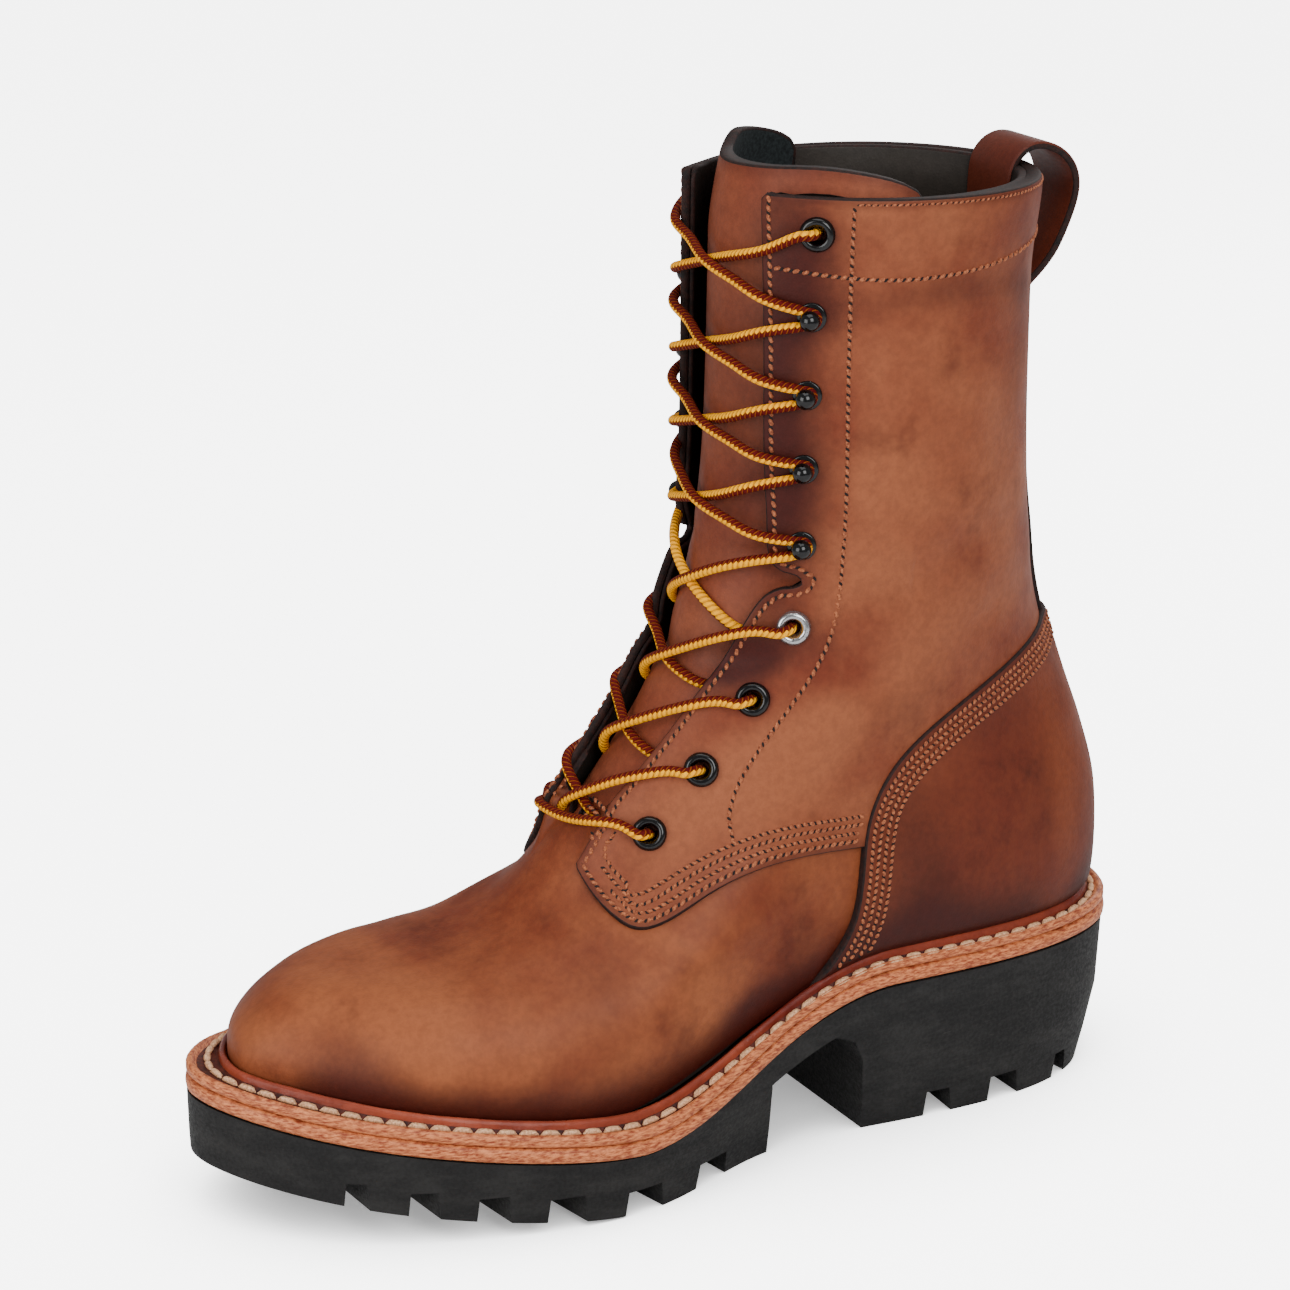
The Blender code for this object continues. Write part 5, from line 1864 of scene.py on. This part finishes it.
def build_laces(places):
    rows = {side: [place for place in places if place[1] == side] for side in (1, -1)}

    def spot(side, index):
        return rows[side][index][2:4]

    def over(turn, up, height):
        _, _, outward = tangents([turn], [up])
        point = on_form([turn], [up])
        return (point + outward * (height + creases(point, height > 0)))[0]

    def across(start, end, route, side):
        """Points of a route between two spots of the form."""
        (turn_1, up_1), (turn_2, up_2) = start, end
        points = []
        for part, climb_1, high_1, climb_2, high_2 in route:
            climb, high = (climb_1, high_1) if side > 0 else (climb_2, high_2)
            turn = turn_1 + (turn_2 - turn_1) * part
            points.append(over(turn, up_1 + (up_2 - up_1) * climb, high))
        return points

    def into_eyelet(side, index):
        """Points from over an eyelet's ring down into its hole."""
        _, _, _, _, seat, away, _, outward = rows[side][index]
        return [seat - away * back + outward * high for back, high in EYELET_ROUTE]

    def round_hook(side, index, above):
        """Points round a hook's neck, from its far side to its side towards the throat."""
        _, _, _, _, seat, away, along, outward = rows[side][index]
        rising = along * math.copysign(1, along[2]) * above
        neck = seat + outward * NECK_HEIGHT
        angles = [math.radians(a) for a in HOOK_ANGLES]
        return [neck + NECK_ROUND * (math.cos(a) * away + math.sin(a) * rising) for a in angles]

    start, end = spot(1, 0), spot(-1, 0)
    arch = BAR_ARCH * (spot(1, 1)[1] - start[1]) / 18
    bar = []
    for part, height in BAR_ROUTE:
        climb = arch * math.sin(math.pi * part) * (BAR_LEAN - part)
        bar.append(over(start[0] + (end[0] - start[0]) * part, start[1] + climb, height))
    strands = [(RED_ABOVE, into_eyelet(1, 0)[:0:-1] + bar + into_eyelet(-1, 0))]
    for side in (1, -1):
        for index in (0, 1, 2):
            lower = across(spot(side, index + 1), spot(-side, index), LOWER_ROUTE, side)
            strands.append((RED_ABOVE, into_eyelet(side, index + 1)[::-1] + lower))
        turn = RED_ABOVE if side > 0 else YELLOW_ABOVE
        under = across(spot(-side, 3), spot(side, 4), UNDER_ROUTE, side)
        strands.append((turn, under + round_hook(side, 4, -1)[::-1]))
        for index in (4, 5, 6):
            middle = across(spot(side, index), spot(-side, index + 1), HOOK_ROUTE, side)
            route = round_hook(side, index, 1) + middle + round_hook(-side, index + 1, -1)[::-1]
            strands.append((turn, route))
        middle = across(spot(side, 7), spot(-side, 8), HOOK_ROUTE, side)
        strands.append((turn, round_hook(side, 7, 1) + middle + into_eyelet(-side, 8)))
    nodes = ["lace_bar_1"] + [f"lace_cross_{k}" for k in range(1, 9)]
    necks = np.array([place[4] + place[7] * NECK_HEIGHT for place in places if place[0] == "hook"])
    for number, (turn, route) in enumerate(strands):
        path = fine_path(route if route[0][1] > route[-1][1] else route[::-1])
        near = np.linalg.norm(path[:, None] - necks[None], axis=2).min(1)
        radii = LACE_RADIUS * (LACE_PRESSED + LACE_RELIEF * smooth((near - NECK_HEIGHT) / 3))
        piece = tube(f"lace_strand_{number + 1}", path, radii, turn)
        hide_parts(*nodes)


def fine_path(route):
    """A smooth, evenly spaced path through a route's points."""
    route = np.asarray(route, float)
    knots = loop_knots(route, 0.6)
    dense = spline(knots, route, np.linspace(0, 1, 400))
    length = np.linalg.norm(np.diff(dense, axis=0), axis=1).sum()
    return resample(dense, max(int(length / 0.8), 12))


# Camera, floor and light
CAMERA_TARGET = Vector((94.54, -15.1, 148.74)) * 0.001
CAMERA_DISTANCE = 1.130
CAMERA_TURN = 28.81
CAMERA_HIGH = 18.67
CAMERA_LENS = 105


def build_camera():
    turn, high = math.radians(CAMERA_TURN), math.radians(CAMERA_HIGH)
    back = Vector((math.sin(turn) * math.cos(high), math.cos(turn) * math.cos(high), math.sin(high)))
    data = bpy.data.cameras.new("camera")
    data.lens = CAMERA_LENS
    data.sensor_width = 36
    camera = bpy.data.objects.new("camera", data)
    camera.location = CAMERA_TARGET + back * CAMERA_DISTANCE
    camera.rotation_mode = "QUATERNION"
    camera.rotation_quaternion = (-back).to_track_quat("-Z", "Y")
    bpy.context.scene.collection.objects.link(camera)
    bpy.context.scene.camera = camera


# Floor's half side; its brightness for the camera, in the open and in the soft shade under the
# boot; reach of that shade; light of the world; how much brighter the camera sees it than the floor
FLOOR_REACH = 30
FLOOR_GLOW = 5.5
SHADE_GLOW = 0.3
SHADE_REACH = 0.09
WORLD_LIGHT = 0.4
SKY_MORE = 0.6


def build_floor():
    mesh = bpy.data.meshes.new("floor")
    corners = ((-1, -1), (1, -1), (1, 1), (-1, 1))
    mesh.from_pydata([(x * FLOOR_REACH, y * FLOOR_REACH, 0) for x, y in corners], [], [(0, 1, 2, 3)])
    shader = Shader("floor", roughness=0.9, specular=0.1)
    seen = shader.nodes.new("ShaderNodeLightPath").outputs["Is Camera Ray"]
    shader.surface.inputs["Emission Color"].default_value = (1, 1, 1, 1)
    open_sky = shader.nodes.new("ShaderNodeAmbientOcclusion")
    open_sky.inputs["Distance"].default_value = SHADE_REACH
    glow = shader.spread(open_sky.outputs["AO"], 0.1, 0.95, SHADE_GLOW, FLOOR_GLOW)
    shader.put(shader.surface.inputs["Emission Strength"], shader.maths("MULTIPLY", seen, glow))
    mesh.materials.append(shader.finish(colour(240, 240, 240)))
    floor = bpy.data.objects.new("floor", mesh)
    bpy.context.scene.collection.objects.link(floor)


# Soft boxes. Columns: name; place; size; power
LIGHTS = (
    ("key", (0.1, 1.25, 0.95), 0.8, 15),
    ("front", (1.25, 0.35, 0.55), 0.8, 10.5),
    ("back", (-0.9, -0.5, 0.8), 0.8, 7),
    ("top", (0.1, 0.1, 1.5), 1.0, 8),
)


def build_lights():
    for name, place, size, power in LIGHTS:
        data = bpy.data.lights.new(name, "AREA")
        data.size = size
        data.energy = power
        lamp = bpy.data.objects.new(name, data)
        lamp.location = place
        lamp.rotation_mode = "QUATERNION"
        lamp.rotation_quaternion = (CAMERA_TARGET - Vector(place)).to_track_quat("-Z", "Y")
        bpy.context.scene.collection.objects.link(lamp)
    world = bpy.data.worlds.new("studio")
    bpy.context.scene.world = world
    world.use_nodes = True
    nodes = world.node_tree.nodes
    ground = nodes["Background"]
    ground.inputs["Color"].default_value = (1, 1, 1, 1)
    seen = nodes.new("ShaderNodeLightPath").outputs["Is Camera Ray"]
    brightness = nodes.new("ShaderNodeMapRange")
    brightness.inputs["To Min"].default_value = WORLD_LIGHT
    brightness.inputs["To Max"].default_value = FLOOR_GLOW + SKY_MORE
    world.node_tree.links.new(seen, brightness.inputs["Value"])
    world.node_tree.links.new(brightness.outputs["Result"], ground.inputs["Strength"])


def main():
    build_camera()
    build_floor()
    build_lights()
    build_vamp()
    build_lining()
    build_quarter("quarter_outer", 1)
    build_quarter("quarter_inner", -1)
    build_counter()
    build_backstay()
    build_tongue()
    build_upper_stitches()
    line = welt_line()
    build_welt(line)
    build_midsole(line)
    build_welt_stitches(line)
    build_outsole()
    build_insole()
    build_pull_loop()
    places = hardware_places()
    build_hardware(places)
    build_laces(places)


main()
